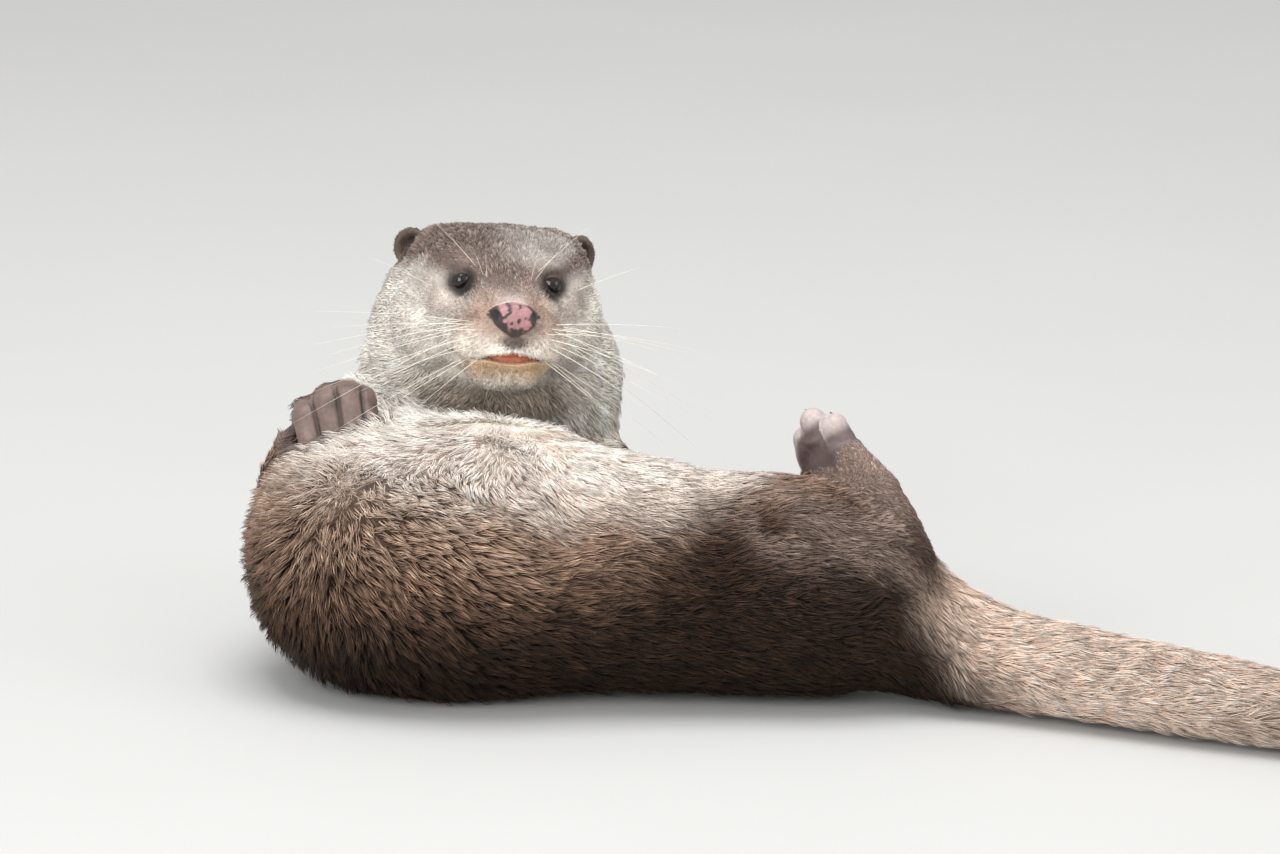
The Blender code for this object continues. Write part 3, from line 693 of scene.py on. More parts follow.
skin_points -= facing * depth[:, None]
skin_points[:, 2] = np.maximum(skin_points[:, 2], ON_FLOOR)
set_points(skin, skin_points)
print("room for the coat, mm: up to", round(1000 * depth.max(), 1))

# %% [markdown]
# The toes are pressed onto their round bars, which flow into each other like warm wax, and the crease
# between two fingers is drawn in a little further. The skin over a knuckle is a shade thicker, and a web
# joins the roots of the hind toes. The left paws lie behind the belly, so they are tucked down until it
# hides them.

# %% Round toes
CREASE, CREASE_WIDE = 0.0014, 0.0026  # depth and width of the crease between two fingers
WEBBED = 0.30  # share of a hind toe that the web hides
SOFT, SOFT_HIND, SOFT_TIPS = 0.0024, 0.0046, 0.0028  # how widely toes flow into each other
KNUCKLE = 0.0004  # how much thicker the skin is there
TUCK_FORE, TUCK_HIND = 0.0045, 0.0090  # how far the left paws hide behind the belly
HIND_FROM, LEFT_FROM = 0.04, 0.05  # the hind paws lie east of the first, the left ones north of the second


def hind_and_left(places):
    """Which places, of those on the paws, are on a hind paw, and which are on a left one."""
    return places[:, 0] - SHIFT[0] > HIND_FROM, places[:, 1] - SHIFT[1] > LEFT_FROM


def fused_toes(places, soft):
    """How far each place is from toes that flow into each other over a soft width, and the way off them."""
    ways, aparts, _ = zip(*off_toes(places))
    low = np.min(aparts, axis=0)
    weights = [np.exp(-(apart - low) / soft) for apart in aparts]
    way = sum(weight[:, None] * one for weight, one in zip(weights, ways))
    return low - soft * np.log(sum(weights)), unit(way)


skin_points = points_of(skin)
for _ in range(3):
    toe_off, _, _, share, _ = off_paws(skin_points)
    close = np.flatnonzero(toe_off < 0.008)
    hind, left_paw = hind_and_left(skin_points[close])
    parted_toes = ease(skin_points[close, 2], 0.1270, 0.1330)
    soft = np.where(hind & ~left_paw, SOFT_HIND + (SOFT_TIPS - SOFT_HIND) * parted_toes, SOFT)
    off, way = fused_toes(skin_points[close], soft)
    free = np.where(hind, WEBBED, 0.02)
    hold = ease(share[close], free, free + 0.28) * (1 - ease(np.abs(off), 0.0055, 0.0090))
    knuckle = KNUCKLE * np.exp(-(((share[close] - 0.5) / 0.12) ** 2))
    skin_points[close] -= way * (hold * (off - knuckle))[:, None]
toe_off, next_off, _, share, palm_off = off_paws(skin_points)
hind, left_paw = hind_and_left(skin_points)
tucked = 1 - ease(np.minimum(toe_off, palm_off), 0.002, 0.010)
tucked *= np.where(hind, TUCK_HIND, TUCK_FORE * (1 - ease(share, 0.5, 0.9)))
skin_points[:, 2] -= tucked * left_paw
crease = (1 - ease(next_off - toe_off, 0, CREASE_WIDE)) * ease(share, 0.22, 0.5) * (toe_off < 0.003)
crease *= ~hind
set_points(skin, skin_points)
skin_points -= normals_of(skin) * (CREASE * crease)[:, None]
skin_points[:, 2] = np.maximum(skin_points[:, 2], ON_FLOOR)
set_points(skin, skin_points)
print("points on the toes:", int((hold > 0.5).sum()), "in their creases:", int((crease > 0.5).sum()))

# %% [markdown]
# The face is shaped as one presses and pulls clay: each stroke names a place on the head, how far it
# reaches and how far it moves the skin, on both sides at once. First the broad forms, the brows, the
# hollows before the eyes, the swollen whisker pads, the chin and the throat. The ears are pressed onto
# flat eggs and cupped in front.

# %% Broad forms of the face


def stroke(places, where, reach, push, sides=(1, -1)):
    """Moves head places near one spot, most at its middle and nothing at its reach. All in millimetres."""
    for side in sides:
        mirror = np.array((side, 1, 1)) * MM
        fade = np.clip(1 - (((places - where * mirror) / np.multiply(reach, MM)) ** 2).sum(axis=1), 0, 1) ** 2
        places += fade[:, None] * (push * mirror)


in_head = to_head(points_of(skin))
for where, reach, push in [
    ((22, 2, 10), (13, 12, 6), (0, 1.6, 0.6)),  # brow
    ((11, 14, 2), (8, 12, 8), (-1.0, -1.2, 0)),  # hollow between eye and bridge
    ((30, 2, -10), (12, 14, 8), (0.6, 0.8, -0.4)),  # cheek under the eye
    ((14, 34, -20), (11, 14, 10), (1.2, 1.6, 0)),  # whisker pad
    ((0, 37, -20), (3.5, 12, 7), (0, -1.3, 0)),  # parting of the upper lip
    ((14, 33, -27), (11, 13, 7), (0.4, 1.0, -1.5)),  # the pad hangs over the lip
    ((25, 16, -40), (10, 15, 11), (-2.0, -4.2, 1.0)),  # side of the chin
    ((34, 4, -34), (13, 18, 18), (0.5, 4.2, 0)),  # cheek beside the chin
    ((28, 2, -46), (14, 20, 14), (0.5, 4.0, 0)),  # jowl under it
    ((24, 26, -27), (10, 16, 7), (2.2, 0.8, 0)),  # outer end of the pad
    ((0, -22, -62), (44, 30, 20), (0, 12.0, 0)),  # throat
    ((37, -58, 9), (8, 12, 8), (1.4, 0, 1.4)),  # crown beside the ear
]:
    stroke(in_head, where, reach, push)
EAR_TURN, EAR_NOD, CUP = -28, 14, 0.0042  # degrees, and how deep the flap is cupped
EAR_HALF = np.array((0.0092, 0.0032, 0.0098))  # half the width, thickness and height of the flap
for side, ear in EARS.items():
    middle = ear - (side * 0.0008, 0, 0.0016)
    turn = Matrix.Rotation(side * math.radians(EAR_TURN), 3, "Z")
    turned = np.array(turn @ Matrix.Rotation(math.radians(EAR_NOD), 3, "X"))
    across, through, up = ((in_head - middle) @ turned).T
    rounds = size_of(np.stack([across, through, up], axis=1) / EAR_HALF)
    hold = (1 - ease(np.abs(rounds - 1), 0.8, 1.5)) * ease(side * across + 0.6 * up, -0.0060, 0.0010)
    scale = 1 + (1 / np.maximum(rounds, 0.2) - 1) * hold
    across, through, up = across * scale, through * scale, up * scale
    cup = 1 - ease(np.hypot(across / 0.0080, (up + 0.001) / 0.0084), 0.35, 1.0)
    through = through - CUP * cup * (through > 0) * hold
    in_head = np.stack([across, through, up], axis=1) @ turned.T + middle
    print("points on an ear:", int((hold > 0.5).sum()))
set_points(skin, from_head(in_head))

# %% [markdown]
# The eyeballs sit as deep as real ones. Inside the opening of the lids the skin dives behind the ball, and
# round it the skin swells into a rim that hugs the ball, a little slanted, with a sharper corner towards
# the nose.

# %% Lids
BALL = 0.0064
OPENING = np.array((0.0050, 0.0041))  # half width and half height of the opening of the lids
SLANT = math.radians(14)  # the inner corner lies lower
EYES_IN_HEAD = {1: to_head(EYES[0]), -1: to_head(EYES[1])}  # the left and the right
LID_ROUNDS = [0.0, 0.94, 1.02, 1.15, 1.6]  # distances from the middle, in openings
LID_HEIGHTS = [-0.0014, -0.0010, 0.0003, 0.0007, 0.0010]  # over the ball


def shape_lids(places):
    """Presses head places onto the lids of both eyes, and returns how far each is from an opening."""
    nearest = np.full(len(places), FAR)
    for side, middle in EYES_IN_HEAD.items():
        away = places - middle
        distance = size_of(away)
        ray = away / distance[:, None]
        across = side * ray[:, 0] * BALL
        upward = ray[:, 2] * BALL
        wide = across * math.cos(SLANT) + upward * math.sin(SLANT)
        high = upward * math.cos(SLANT) - across * math.sin(SLANT)
        inner = 1 + 0.16 * ease(-wide, 0.002, 0.005) * (1 - ease(np.abs(high), 0, 0.002))
        rounds = np.hypot(wide / (OPENING[0] * inner), high / OPENING[1])
        rounds[(ray[:, 1] < 0.15) | (distance > 0.0125)] = FAR
        target = BALL + np.interp(rounds, LID_ROUNDS, LID_HEIGHTS)
        hold = (1 - ease(rounds, 1.3, 2.2)) * (1 - ease(distance, 0.0095, 0.0125))
        places[:] = middle + ray * (distance + (target - distance) * hold)[:, None]
        nearest = np.minimum(nearest, rounds)
    return nearest


in_head = to_head(points_of(skin))
lid_rounds = shape_lids(in_head)
set_points(skin, from_head(in_head))
print("points in the lids:", int((lid_rounds < 1.6).sum()))

# %% [markdown]
# The nose pad is a bare leathery shield with a pointed lower tip. Its comma nostrils open at the sides.
# Under it the mouth is drawn as a fine line that curves down to its corners, parted in the middle, where
# the tongue shows.

# %% Nose and mouth
NOSE = np.array((0.0, 0.044, -0.0055))
NOSE_OUTLINE = [  # height over the middle, half width
    (-0.0100, 0.0008), (-0.0075, 0.0056), (-0.0040, 0.0100),
    (0.0010, 0.0134), (0.0046, 0.0130), (0.0078, 0.0076),
]
MOUTH_CROWN, MOUTH_FALL, MOUTH_HALF = -0.0265, 0.0056, 0.0290
PART_HALF = 0.0140  # half width of the parting of the lips
GROOVE, GROOVE_HALF, PART_DEEP = 0.0022, 0.0016, 0.0050  # the line's depth and half width, the parting's
PAD_PROUD, LIP_PROUD = 0.0007, 0.0010  # how far the nose pad and the upper lip stand out


def nose_inside(places):
    """1 on the bare nose pad, 0 off it."""
    left, nose, crown = (places - NOSE).T
    heights, halves = zip(*NOSE_OUTLINE)
    half = np.interp(crown, heights, halves, left=0, right=0)
    return ease(half - np.abs(left), -0.0004, 0.0006) * (nose > -0.012)


def mouth_height(left):
    return MOUTH_CROWN - MOUTH_FALL * (np.abs(left) / 0.027) ** 1.6


def parted(places):
    """1 inside the parting of the lips, where the inner mouth shows."""
    left, nose, crown = places.T
    share = np.clip(np.abs(left) / PART_HALF, 0, 1)
    top = MOUTH_CROWN + 0.0034 * (1 - share**1.1)
    low = mouth_height(left) - 0.0036 * (1 - share**2)
    inside = ease(top - crown, -0.0004, 0.0006) * ease(crown - low, -0.0004, 0.0006)
    return inside * (share < 1) * (nose > 0.012)


in_head = to_head(points_of(skin))
pad = nose_inside(in_head)
in_head[:, 1] += PAD_PROUD * pad
for where, reach, push in [
    ((10.4, 45.0, -4.2), (3.4, 9, 3.6), (-1.2, -5.6, 0)),  # nostril
    ((13.2, 42.5, -6.4), (2.8, 9, 1.9), (0, -2.6, 0)),  # its slit
    ((10.0, 45.0, 1.4), (5.6, 9, 2.4), (0, 1.1, 0.5)),  # wing over it
    ((6.4, 45.0, -8.0), (4.0, 9, 3.0), (0, 0.7, 0)),  # rim under it
]:
    stroke(in_head, where, reach, push)
stroke(in_head, (0, 47, -11.5), (1, 12, 6), (0, -0.9, 0), sides=(1,))  # the cleft under the pad
line = (np.abs(in_head[:, 0]) < MOUTH_HALF) & (in_head[:, 1] > 0.004)
off_line = np.abs(in_head[:, 2] - mouth_height(in_head[:, 0]))
groove = np.clip(1 - (off_line / GROOVE_HALF) ** 2, 0, 1) * line
groove *= ease(MOUTH_HALF - np.abs(in_head[:, 0]), 0, 0.008)
in_head[:, 1] -= GROOVE * groove * (1 - parted(in_head))
in_head[:, 1] -= PART_DEEP * parted(in_head)
upper = in_head[:, 2] - mouth_height(in_head[:, 0])
lip = np.clip(1 - ((upper - 0.0034) / 0.0036) ** 2, 0, 1) * line * (np.abs(in_head[:, 0]) < 0.024)
in_head[:, 1] += LIP_PROUD * lip * (1 - pad)
set_points(skin, from_head(in_head))
bpy.context.view_layer.update()
print("points on the nose pad:", int((pad > 0.5).sum()), "in the lips:", int((parted(in_head) > 0.5).sum()))

# %% [markdown]
# The markings belong to the place on the animal, not to the skin or to the coat, so one recipe colours
# both. It starts from the brown of the back and lays the cream of the belly, the pale cheeks, the dark
# rings of the eyes and the rest over it. Each patch has a deep colour, at the hair's root, and a light
# one, at its tip: partly the hair's own, partly painted shade deep in the coat and painted light where the
# tips catch it.

# %% Palette and soft patches
Fur = namedtuple("Fur", "root tip")


def fur(root, tip):
    return Fur(srgb(*root), srgb(*tip))


BACK = fur((36, 21, 14), (206, 165, 138))
FAWN = fur((128, 98, 80), (244, 212, 188))
THIGH = fur((17, 9, 5), (94, 62, 43))
UNDER = fur((242, 226, 213), (255, 251, 244))
TAIL = fur((208, 176, 156), (255, 244, 231))
TAIL_END = fur((84, 66, 54), (176, 154, 136))
NECK = fur((236, 226, 212), (255, 252, 246))
CROWN = fur((76, 60, 52), (212, 190, 180))
# a painted sheen on one side of the crown
CROWN_SHEEN = fur((172, 162, 154), (252, 246, 240))
CHEEK = fur((242, 234, 224), (255, 253, 248))
MUZZLE = fur((150, 126, 112), (222, 198, 183))
BRIDGE = fur((210, 192, 186), (255, 244, 238))
LIP = fur((226, 216, 204), (248, 241, 231))
CHIN = fur((217, 178, 134), (245, 217, 178))
# the dark rings round the eyes, and painted shade in the hollows of the ears
EYE_RING_AND_EAR_SHADE = fur((26, 19, 16), (74, 58, 50))
SMUDGE = fur((74, 62, 58), (138, 122, 116))
# the ruff under the chin, partly its own darker fur and partly painted shade
RUFF_AND_CHIN_SHADE = fur((84, 60, 38), (216, 186, 150))
EAR_FUR = fur((90, 75, 65), (158, 138, 123))
# painted shade near the ground, laid over the underside's own slightly darker brown
UNDERSIDE_AND_SHADE = fur((18, 11, 6), (76, 54, 38))
PAW_FUR = fur((100, 79, 67), (202, 176, 156))
PAW_NAP = fur((88, 74, 69), (150, 133, 126))
FOOT_FUR = fur((104, 84, 74), (208, 186, 173))
random = np.random.default_rng(7)


def ripple(places, length, seed, waves=7):
    """A smooth random field between about -1 and 1 that changes over the given length."""
    own = np.random.default_rng(seed)
    ways = unit(own.normal(size=(waves, 3)))
    turns = (2 * math.pi / length) * own.uniform(0.6, 1.4, waves)
    total = np.zeros(len(places))
    for way, turn, phase in zip(ways, turns, own.uniform(0, 6.28, waves)):
        total += np.sin(places @ way * turn + phase)
    return total / math.sqrt(waves / 2)


def in_egg(places, where, reach, side):
    """0 in the middle of an egg on one side of the head, 1 on its shell. Sizes in millimetres."""
    return size_of((places - np.array(where) * MM * (side, 1, 1)) / (np.array(reach) * MM))


def patch(places, where, reach, edge):
    """1 in the middle of a soft-edged egg on each side of the head, 0 outside it."""
    total = np.zeros(len(places))
    for side in (1, -1):
        total = np.maximum(total, 1 - ease(in_egg(places, where, reach, side), 1 - edge, 1 + edge))
    return total


# %% [markdown]
# The cream of the belly ends where the guides say, along a wavy border, and fades through fawn into brown.
# The thigh is darker, and darker still lower down, where painted shade is laid over its brown; its top and
# the knee get a fawn that is partly a painted highlight. All that lies low is darkened by painted shade near
# the ground, over an underside a little darker of its own. The tail is pale near its root, but the underside
# of the root keeps the brown as painted shade. On the head, soft patches follow the features; among them are
# a painted sheen on one side of the crown and painted shade in the hollow of each ear and under the chin.

# %% Markings
FACE_PATCHES = [  # middle and reach in millimetres of the head, softness of the edge, strength
    ((9, 18, 1), (13, 16, 8), 0.45, 0.8, CROWN),  # between eye and bridge
    ((36, -22, -3), (12, 24, 9), 0.6, 0.4, CROWN),  # temple
    ((46, -66, -10), (12, 22, 18), 0.6, 0.7, CROWN),  # behind the ear
    ((31, 4, -10), (14, 17, 9), 0.7, 0.5, MUZZLE),  # under the eye
    ((0, 31, -9), (33, 22, 14), 0.45, 1, MUZZLE),
    ((0, 32, 5), (13, 15, 9), 0.45, 1, BRIDGE),
    ((0, 14, 8), (13, 12, 8), 0.45, 0.7, CROWN),  # over the bridge
    ((17, 33, -24.5), (16, 16, 6.5), 0.35, 1, LIP),
    ((0, 40, -17.5), (7, 12, 4.5), 0.35, 0.85, SMUDGE),  # under the nose
]
LATER_PATCHES = [
    ((22.4, 2, 0.0), (9.4, 14, 7.8), 0.4, 0.75, SMUDGE),  # round the eye
    ((22.4, 2, 0.0), (7.8, 12, 6.4), 0.3, 1, EYE_RING_AND_EAR_SHADE),
    ((44, -60, 3), (15, 11, 15), 0.2, 1, EAR_FUR),
    # painted shade in the hollow of the ear
    ((44, -54, 3), (7.5, 8, 8), 0.3, 1, EYE_RING_AND_EAR_SHADE),  # inside the ear
    # under the chin, partly darker streaky fur and partly painted shade
    ((6, -4, -61), (36, 40, 9), 0.6, 0.68, RUFF_AND_CHIN_SHADE),
]
RIGHT_ARM = -0.08  # it lies west of here
CROWN_EDGE = [(-0.08, -0.020), (-0.055, -0.006), (-0.02, 0.002), (0.01, 0.001), (0.03, -0.004)]  # nose, crown


def markings(places):
    """Deep and light colour at each place, as the hair has them."""
    guide = read_guides(places)
    head = to_head(places)
    left, nose, crown = head.T
    root = np.repeat(BACK.root[None], len(places), axis=0)
    tip = np.repeat(BACK.tip[None], len(places), axis=0)

    def lay(weight, coat):
        nonlocal root, tip
        weight = np.clip(weight, 0, 1)[:, None]
        root = root * (1 - weight) + coat.root * weight
        tip = tip * (1 - weight) + coat.tip * weight

    off_spine = unit(places - guide.spine)
    round_belly = (off_spine * unit(guide.front)).sum(axis=1) + 0.03 * ripple(places, 0.03, 11)
    east = places[:, 0] - SHIFT[0]
    trunk, arms, legs = guide.share[:, 0], guide.share[:, 1:3].sum(axis=1), guide.share[:, 3:].sum(axis=1)
    # the pale of the tail begins further back low down, so the underside of its root keeps the brown as
    # painted shade
    on_tail = trunk * ease(east - 0.6 * np.clip(0.055 - places[:, 2], 0, 0.05), 0.118, 0.170)  # slanted
    lay(ease(round_belly, guide.cream - 0.65, guide.cream + 0.05) * (1 - on_tail), FAWN)
    behind = np.maximum(legs, ease(east, -0.045, 0.045) * (1 - on_tail))
    # the fawn on top of the loins and the knee is partly a painted highlight, and the thigh's brown darkens
    # lower down with painted shade
    lay(behind * ease(places[:, 2], 0.090, 0.115) * 0.9, FAWN)  # the top of the loins and the knee
    lay(behind * (0.10 + 0.90 * ease(0.121 - places[:, 2], 0, 0.040)), THIGH)
    # painted shade: all that lies low, near the ground, is darkened, over an underside a little darker of its
    # own
    lay(ease(0.088 - places[:, 2] + 0.02 * behind, 0, 0.055) * (1 - on_tail), UNDERSIDE_AND_SHADE)
    lay(on_tail, TAIL)
    lay(on_tail * ease(east, 0.25, 0.42), TAIL_END)
    groin = ease(east, 0.045, 0.080)
    cream = ease(round_belly, guide.cream - 0.18 + 0.14 * groin, guide.cream + 0.38 - 0.20 * groin)
    lay(trunk * (1 - on_tail) * (1 - groin) * cream, UNDER)
    by_neck = trunk * ease(-guide.along, -0.30, -0.19)
    lay(by_neck * ease(round_belly, guide.cream - 0.1, guide.cream + 0.3) * 0.9, NECK)
    lay(legs * ease(guide.along, 0.145, 0.185), FOOT_FUR)
    at_right_arm = east < RIGHT_ARM
    lay(arms * 0.8 * at_right_arm, PAW_FUR)
    at_left_arm = hind_and_left(places)[1] & ~at_right_arm
    lay(arms * at_left_arm * (0.85 - 0.85 * ease(-off_spine[:, 1], -0.1, 0.5)), PAW_FUR)  # only its back
    lay(guide.share[:, 4] * ease(guide.along, 0.02, 0.08) * 0.75, PAW_FUR)  # the left leg
    toe_off, _, _, _, palm_off = off_paws(places)
    lay((1 - ease(np.minimum(toe_off, palm_off), 0.0035, 0.0080)) * at_right_arm, PAW_NAP)  # by the fingers
    on_head = ease(nose, -0.085, -0.055) * near(head, (0, -0.02, 0), 0.098)
    lay(on_head, CHEEK)
    upper = crown - np.interp(nose, *zip(*CROWN_EDGE))
    lay(on_head * ease(upper, -0.004, 0.005), CROWN)
    # painted sheen: the crown is lighter on its left side, as where light catches it
    sheen_side = ease(left + 0.35 * crown, -0.012, 0.024) * ease(crown, 0.006, 0.014) * ease(nose, -0.058, -0.022)
    lay(on_head * sheen_side * 0.85, CROWN_SHEEN)
    for where, reach, edge, strength, coat in FACE_PATCHES:
        lay(patch(head, where, reach, edge) * strength, coat)
    below = mouth_height(left) - crown
    chin = ease(below, 0.0, 0.0015) * ease(0.027 - np.abs(left), 0, 0.013) * ease(nose, -0.004, 0.010)
    lay(chin * ease(0.0170 - below, 0, 0.013) * 0.85, CHIN)
    for where, reach, edge, strength, coat in LATER_PATCHES:
        lay(patch(head, where, reach, edge) * strength, coat)
    light = 1 + 0.09 * ripple(places, 0.016, 5) + 0.05 * ripple(places, 0.05, 6)
    return root * light[:, None], tip * light[:, None]


# %% [markdown]
# Where the skin is bare it has colours of its own: the pink nose pad with its dark blotches and nostrils,
# the dark rims of the lids, the salmon mouth, and the mauve-grey hide of the paws, paler on the lobes of
# the toes. The nostrils are painted shade, nearly black, and painted shade darkens the creases between the
# fingers.

# %% Colours of the bare skin
NOSE_PINK, NOSE_GREY, NOSTRIL_SHADE = srgb(177, 131, 134), srgb(64, 50, 50), srgb(18, 12, 12)
LID_RIM, MOUTH_PINK, PAW_HIDE = srgb(30, 22, 20), srgb(178, 104, 78), srgb(113, 94, 87)
SOLE, TOE_LOBE = srgb(98, 84, 83), srgb(196, 181, 178)

NOSE_SPOTS = [  # left, up from the middle, half width and half height in millimetres, and the colour
    ((-5.8, 4.4, 2.6, 2.4), NOSE_PINK),
    ((-0.6, 5.6, 2.8, 2.1), NOSE_PINK * 0.8),
    ((3.6, 3.2, 3.8, 3.4), NOSE_PINK),
    ((0.4, -0.8, 6.0, 4.8), NOSE_PINK),
    ((5.4, -2.4, 2.8, 2.8), NOSE_PINK),
    ((-3.4, 5.8, 1.0, 2.0), NOSE_GREY),
    ((2.0, 6.9, 0.8, 1.7), NOSE_GREY),
    ((1.7, -0.4, 1.0, 1.3), NOSE_GREY * 1.2),
    ((-2.0, -1.9, 0.9, 0.8), NOSE_GREY * 1.6),
    ((0.8, -7.0, 1.8, 1.8), NOSE_GREY),
    ((4.9, 0.8, 0.7, 0.6), NOSE_GREY * 1.8),
]
NOSTRIL_HOLE = (10.6, 44.0, -4.6), (3.0, 10, 3.2)  # middle and reach in millimetres of the head
NOSTRIL_SLIT = (13.4, 43.0, -6.6), (2.8, 10, 1.5)


def bare_skin(places, facing):
    """How bare the skin is at each place, and its colour there."""
    head = to_head(places)
    left, nose, crown = head.T
    bare = np.zeros(len(places))
    colour = np.repeat(PAW_HIDE[None], len(places), axis=0)

    def lay(weight, shade):
        nonlocal bare, colour
        weight = np.clip(weight, 0, 1)
        colour = colour * (1 - weight[:, None]) + np.asarray(shade) * weight[:, None]
        bare = np.maximum(bare, weight)

    toe_off, next_off, outward, share, palm_off = off_paws(places)
    hind, left_paw = hind_and_left(places)
    palm_off = np.where(hind, FAR, palm_off + 0.004 * ease(toe_off, 0.006, 0.012))
    on_paw = 1 - ease(np.minimum(toe_off - 0.0022 * hind, palm_off), 0.0022, 0.0040)
    outside = ease((facing * outward).sum(axis=1), -0.05, 0.3)
    on_paw *= np.maximum(outside, (palm_off < 0.001) & (toe_off > 0.004))
    mottled = (1 + 0.12 * ripple(places, 0.012, 21))[:, None]
    lay(on_paw * ~hind * (0.35 + 0.65 * ease(share, 0.02, 0.30)), PAW_HIDE * mottled)
    on_paw *= np.where(hind & left_paw, ease(facing[:, 2] - 0.4 * facing[:, 0], -0.35, 0.15), 1)
    lay(on_paw * hind, SOLE * (1 + 0.10 * ripple(places, 0.010, 22))[:, None])
    lay(on_paw * hind * ease(share, 0.62, 1.0) * 0.85, TOE_LOBE)
    # painted shade in the creases between the fingers
    between = (1 - ease(next_off - toe_off, 0.0004, 0.0024)) * ease(share, 0.22, 0.5)
    lay(on_paw * between * 0.85 * ~hind, PAW_HIDE * 0.18)
    pad = nose_inside(head)
    lay(pad, NOSE_GREY)
    rough = 0.16 * ripple(places, 0.0030, 31)
    for (across, height, wide, high), shade in NOSE_SPOTS:
        away = np.hypot((left - across * MM) / (wide * MM), (crown - NOSE[2] - height * MM) / (high * MM))
        lay(pad * (1 - ease(away + rough, 0.80, 1.15)), shade)
    for side in (1, -1):
        hole = np.minimum(in_egg(head, *NOSTRIL_HOLE, side), in_egg(head, *NOSTRIL_SLIT, side))
        # painted shade: the holes of the nostrils are coloured nearly black
        lay(1 - ease(hole, 0.75, 1.1), NOSTRIL_SHADE)
        ball = EYES_IN_HEAD[side]
        off_ball = size_of(head - ball) - BALL
        lay((1 - ease(off_ball, 0.0005, 0.0009)) * (nose > ball[1]), LID_RIM)
    gap = np.abs(crown - mouth_height(left))
    on_line = (np.abs(left) < MOUTH_HALF) & (nose > 0.004)
    lay((1 - ease(gap, 0.0004, 0.0011)) * on_line, LID_RIM * 1.6)
    lay(parted(head), MOUTH_PINK)
    return bare, colour


def set_colours(piece, name, colours):
    held = piece.data.color_attributes.new(name=name, type="FLOAT_COLOR", domain="POINT")
    filled = np.ones((len(colours), 4), np.float32)
    filled[:, :3] = np.clip(colours, 0, 1)
    held.data.foreach_set("color", filled.ravel())


def set_values(piece, name, values):
    held = piece.data.attributes.new(name=name, type="FLOAT", domain="POINT")
    held.data.foreach_set("value", np.asarray(values, np.float32))


skin_points = points_of(skin)
deep, light_tip = markings(skin_points)
bare, hide = bare_skin(skin_points, normals_of(skin))
pale = ease(deep.mean(axis=1), 0.3, 0.6)[:, None]
# the skin under the coat is darker than the roots of the hair: painted shade in the gaps between the locks
under_coat = deep * (0.72 + 0.14 * pale) + light_tip * 0.14
set_colours(skin, "marking", under_coat * (1 - bare[:, None]) + hide * bare[:, None])
set_values(skin, "bare", bare)
skin.data.calc_loop_triangles()
print("bare points:", int((bare > 0.5).sum()), "of", len(bare), "triangles:", len(skin.data.loop_triangles))

# %% [markdown]
# The skin's finish reads the markings from the mesh. Under the coat it is matt with a fine nap. Where it
# is bare it is smoother and shines a little, with fine creases.

# %% Finish of the skin
hide_finish = Finish("otter_skin", roughness=0.6)
marking = hide_finish.attribute("marking")
bareness = hide_finish.attribute("bare", "Fac")
mottle = hide_finish.spread(hide_finish.noise(420, 4), 0.3, 0.7, 0.82, 1.14)
toned = hide_finish.add("ShaderNodeVectorMath", operation="SCALE")
hide_finish.join(marking, toned.inputs[0])
hide_finish.join(mottle, toned.inputs["Scale"])
hide_finish.paint(toned.outputs[0])
hide_finish.join(hide_finish.spread(bareness, 0, 1, 0.85, 0.42), hide_finish.shader.inputs["Roughness"])
nap = hide_finish.spread(hide_finish.noise(1500, 2), 0.2, 0.8)
creases = hide_finish.spread(hide_finish.cells(2400, "DISTANCE_TO_EDGE"), 0.0, 0.35)
grain = hide_finish.add("ShaderNodeMix", data_type="FLOAT")
for socket, output in zip((0, 2, 3), (bareness, nap, creases)):
    hide_finish.join(output, grain.inputs[socket])
hide_finish.bump(grain.outputs[0], 0.00010, 0.5)
skin.data.shade_smooth()
dress(skin, hide_finish)
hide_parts(*[node for node in FLESH if node != "tongue"])

# %% [markdown]
# An eye is a glossy dark ball with a slightly raised cornea. It starts as a sphere; the points round its
# front are pulled out a little, and the colour of each point comes from how far it lies from the line of
# sight.

# %% Eyeballs
SIGHT = {"left": (0.30, 0.95, 0.06), "right": (-0.30, 0.95, 0.06)}  # the way each eye looks, on the head
PUPIL, IRIS = 0.0024, 0.0048  # radii
PUPIL_EDGE, IRIS_EDGE = 0.0002, 0.0003  # how soft their edges are
CORNEA = 0.0004  # how far it stands out
for name, ball in zip(("left", "right"), EYES):
    bpy.ops.mesh.primitive_uv_sphere_add(segments=40, ring_count=24, radius=BALL, location=(0, 0, 0))
    eye = bpy.context.object
    eye.name = f"eyeball_{name}"
    sight = HEAD_AXES @ unit(np.array(SIGHT[name]))
    places = points_of(eye)
    ahead = places @ sight
    off_axis = size_of(places - ahead[:, None] * sight)
    cornea = (ahead > 0) * (1 - ease(off_axis, 0.0, IRIS)) * CORNEA
    set_points(eye, places + cornea[:, None] * sight + ball)
    set_values(eye, "off_axis", np.where(ahead > 0, off_axis, 0.01))
    eye.data.shade_smooth()
    gloss = Finish(f"eye_{name}_gloss", roughness=0.06)
    off = gloss.attribute("off_axis", "Fac")
    streaks = gloss.spread(gloss.noise(1400, 3), 0.3, 0.7)
    iris = gloss.blend(streaks, (0.010, 0.006, 0.004), (0.026, 0.015, 0.009))
    rim = gloss.spread(off, IRIS - IRIS_EDGE, IRIS + IRIS_EDGE)
    pupil = gloss.spread(off, PUPIL - PUPIL_EDGE, PUPIL + PUPIL_EDGE)
    gloss.paint(gloss.blend(pupil, (0.003, 0.003, 0.003), gloss.blend(rim, iris, (0.030, 0.022, 0.018))))
    for key, value in {"Coat Weight": 0.5, "Specular IOR Level": 0.3, "Coat Roughness": 0.02}.items():
        gloss.shader.inputs[key].default_value = value
    dress(eye, gloss)
    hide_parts(f"eye_{name}")
print("eyeballs of", 2000 * BALL, "mm")

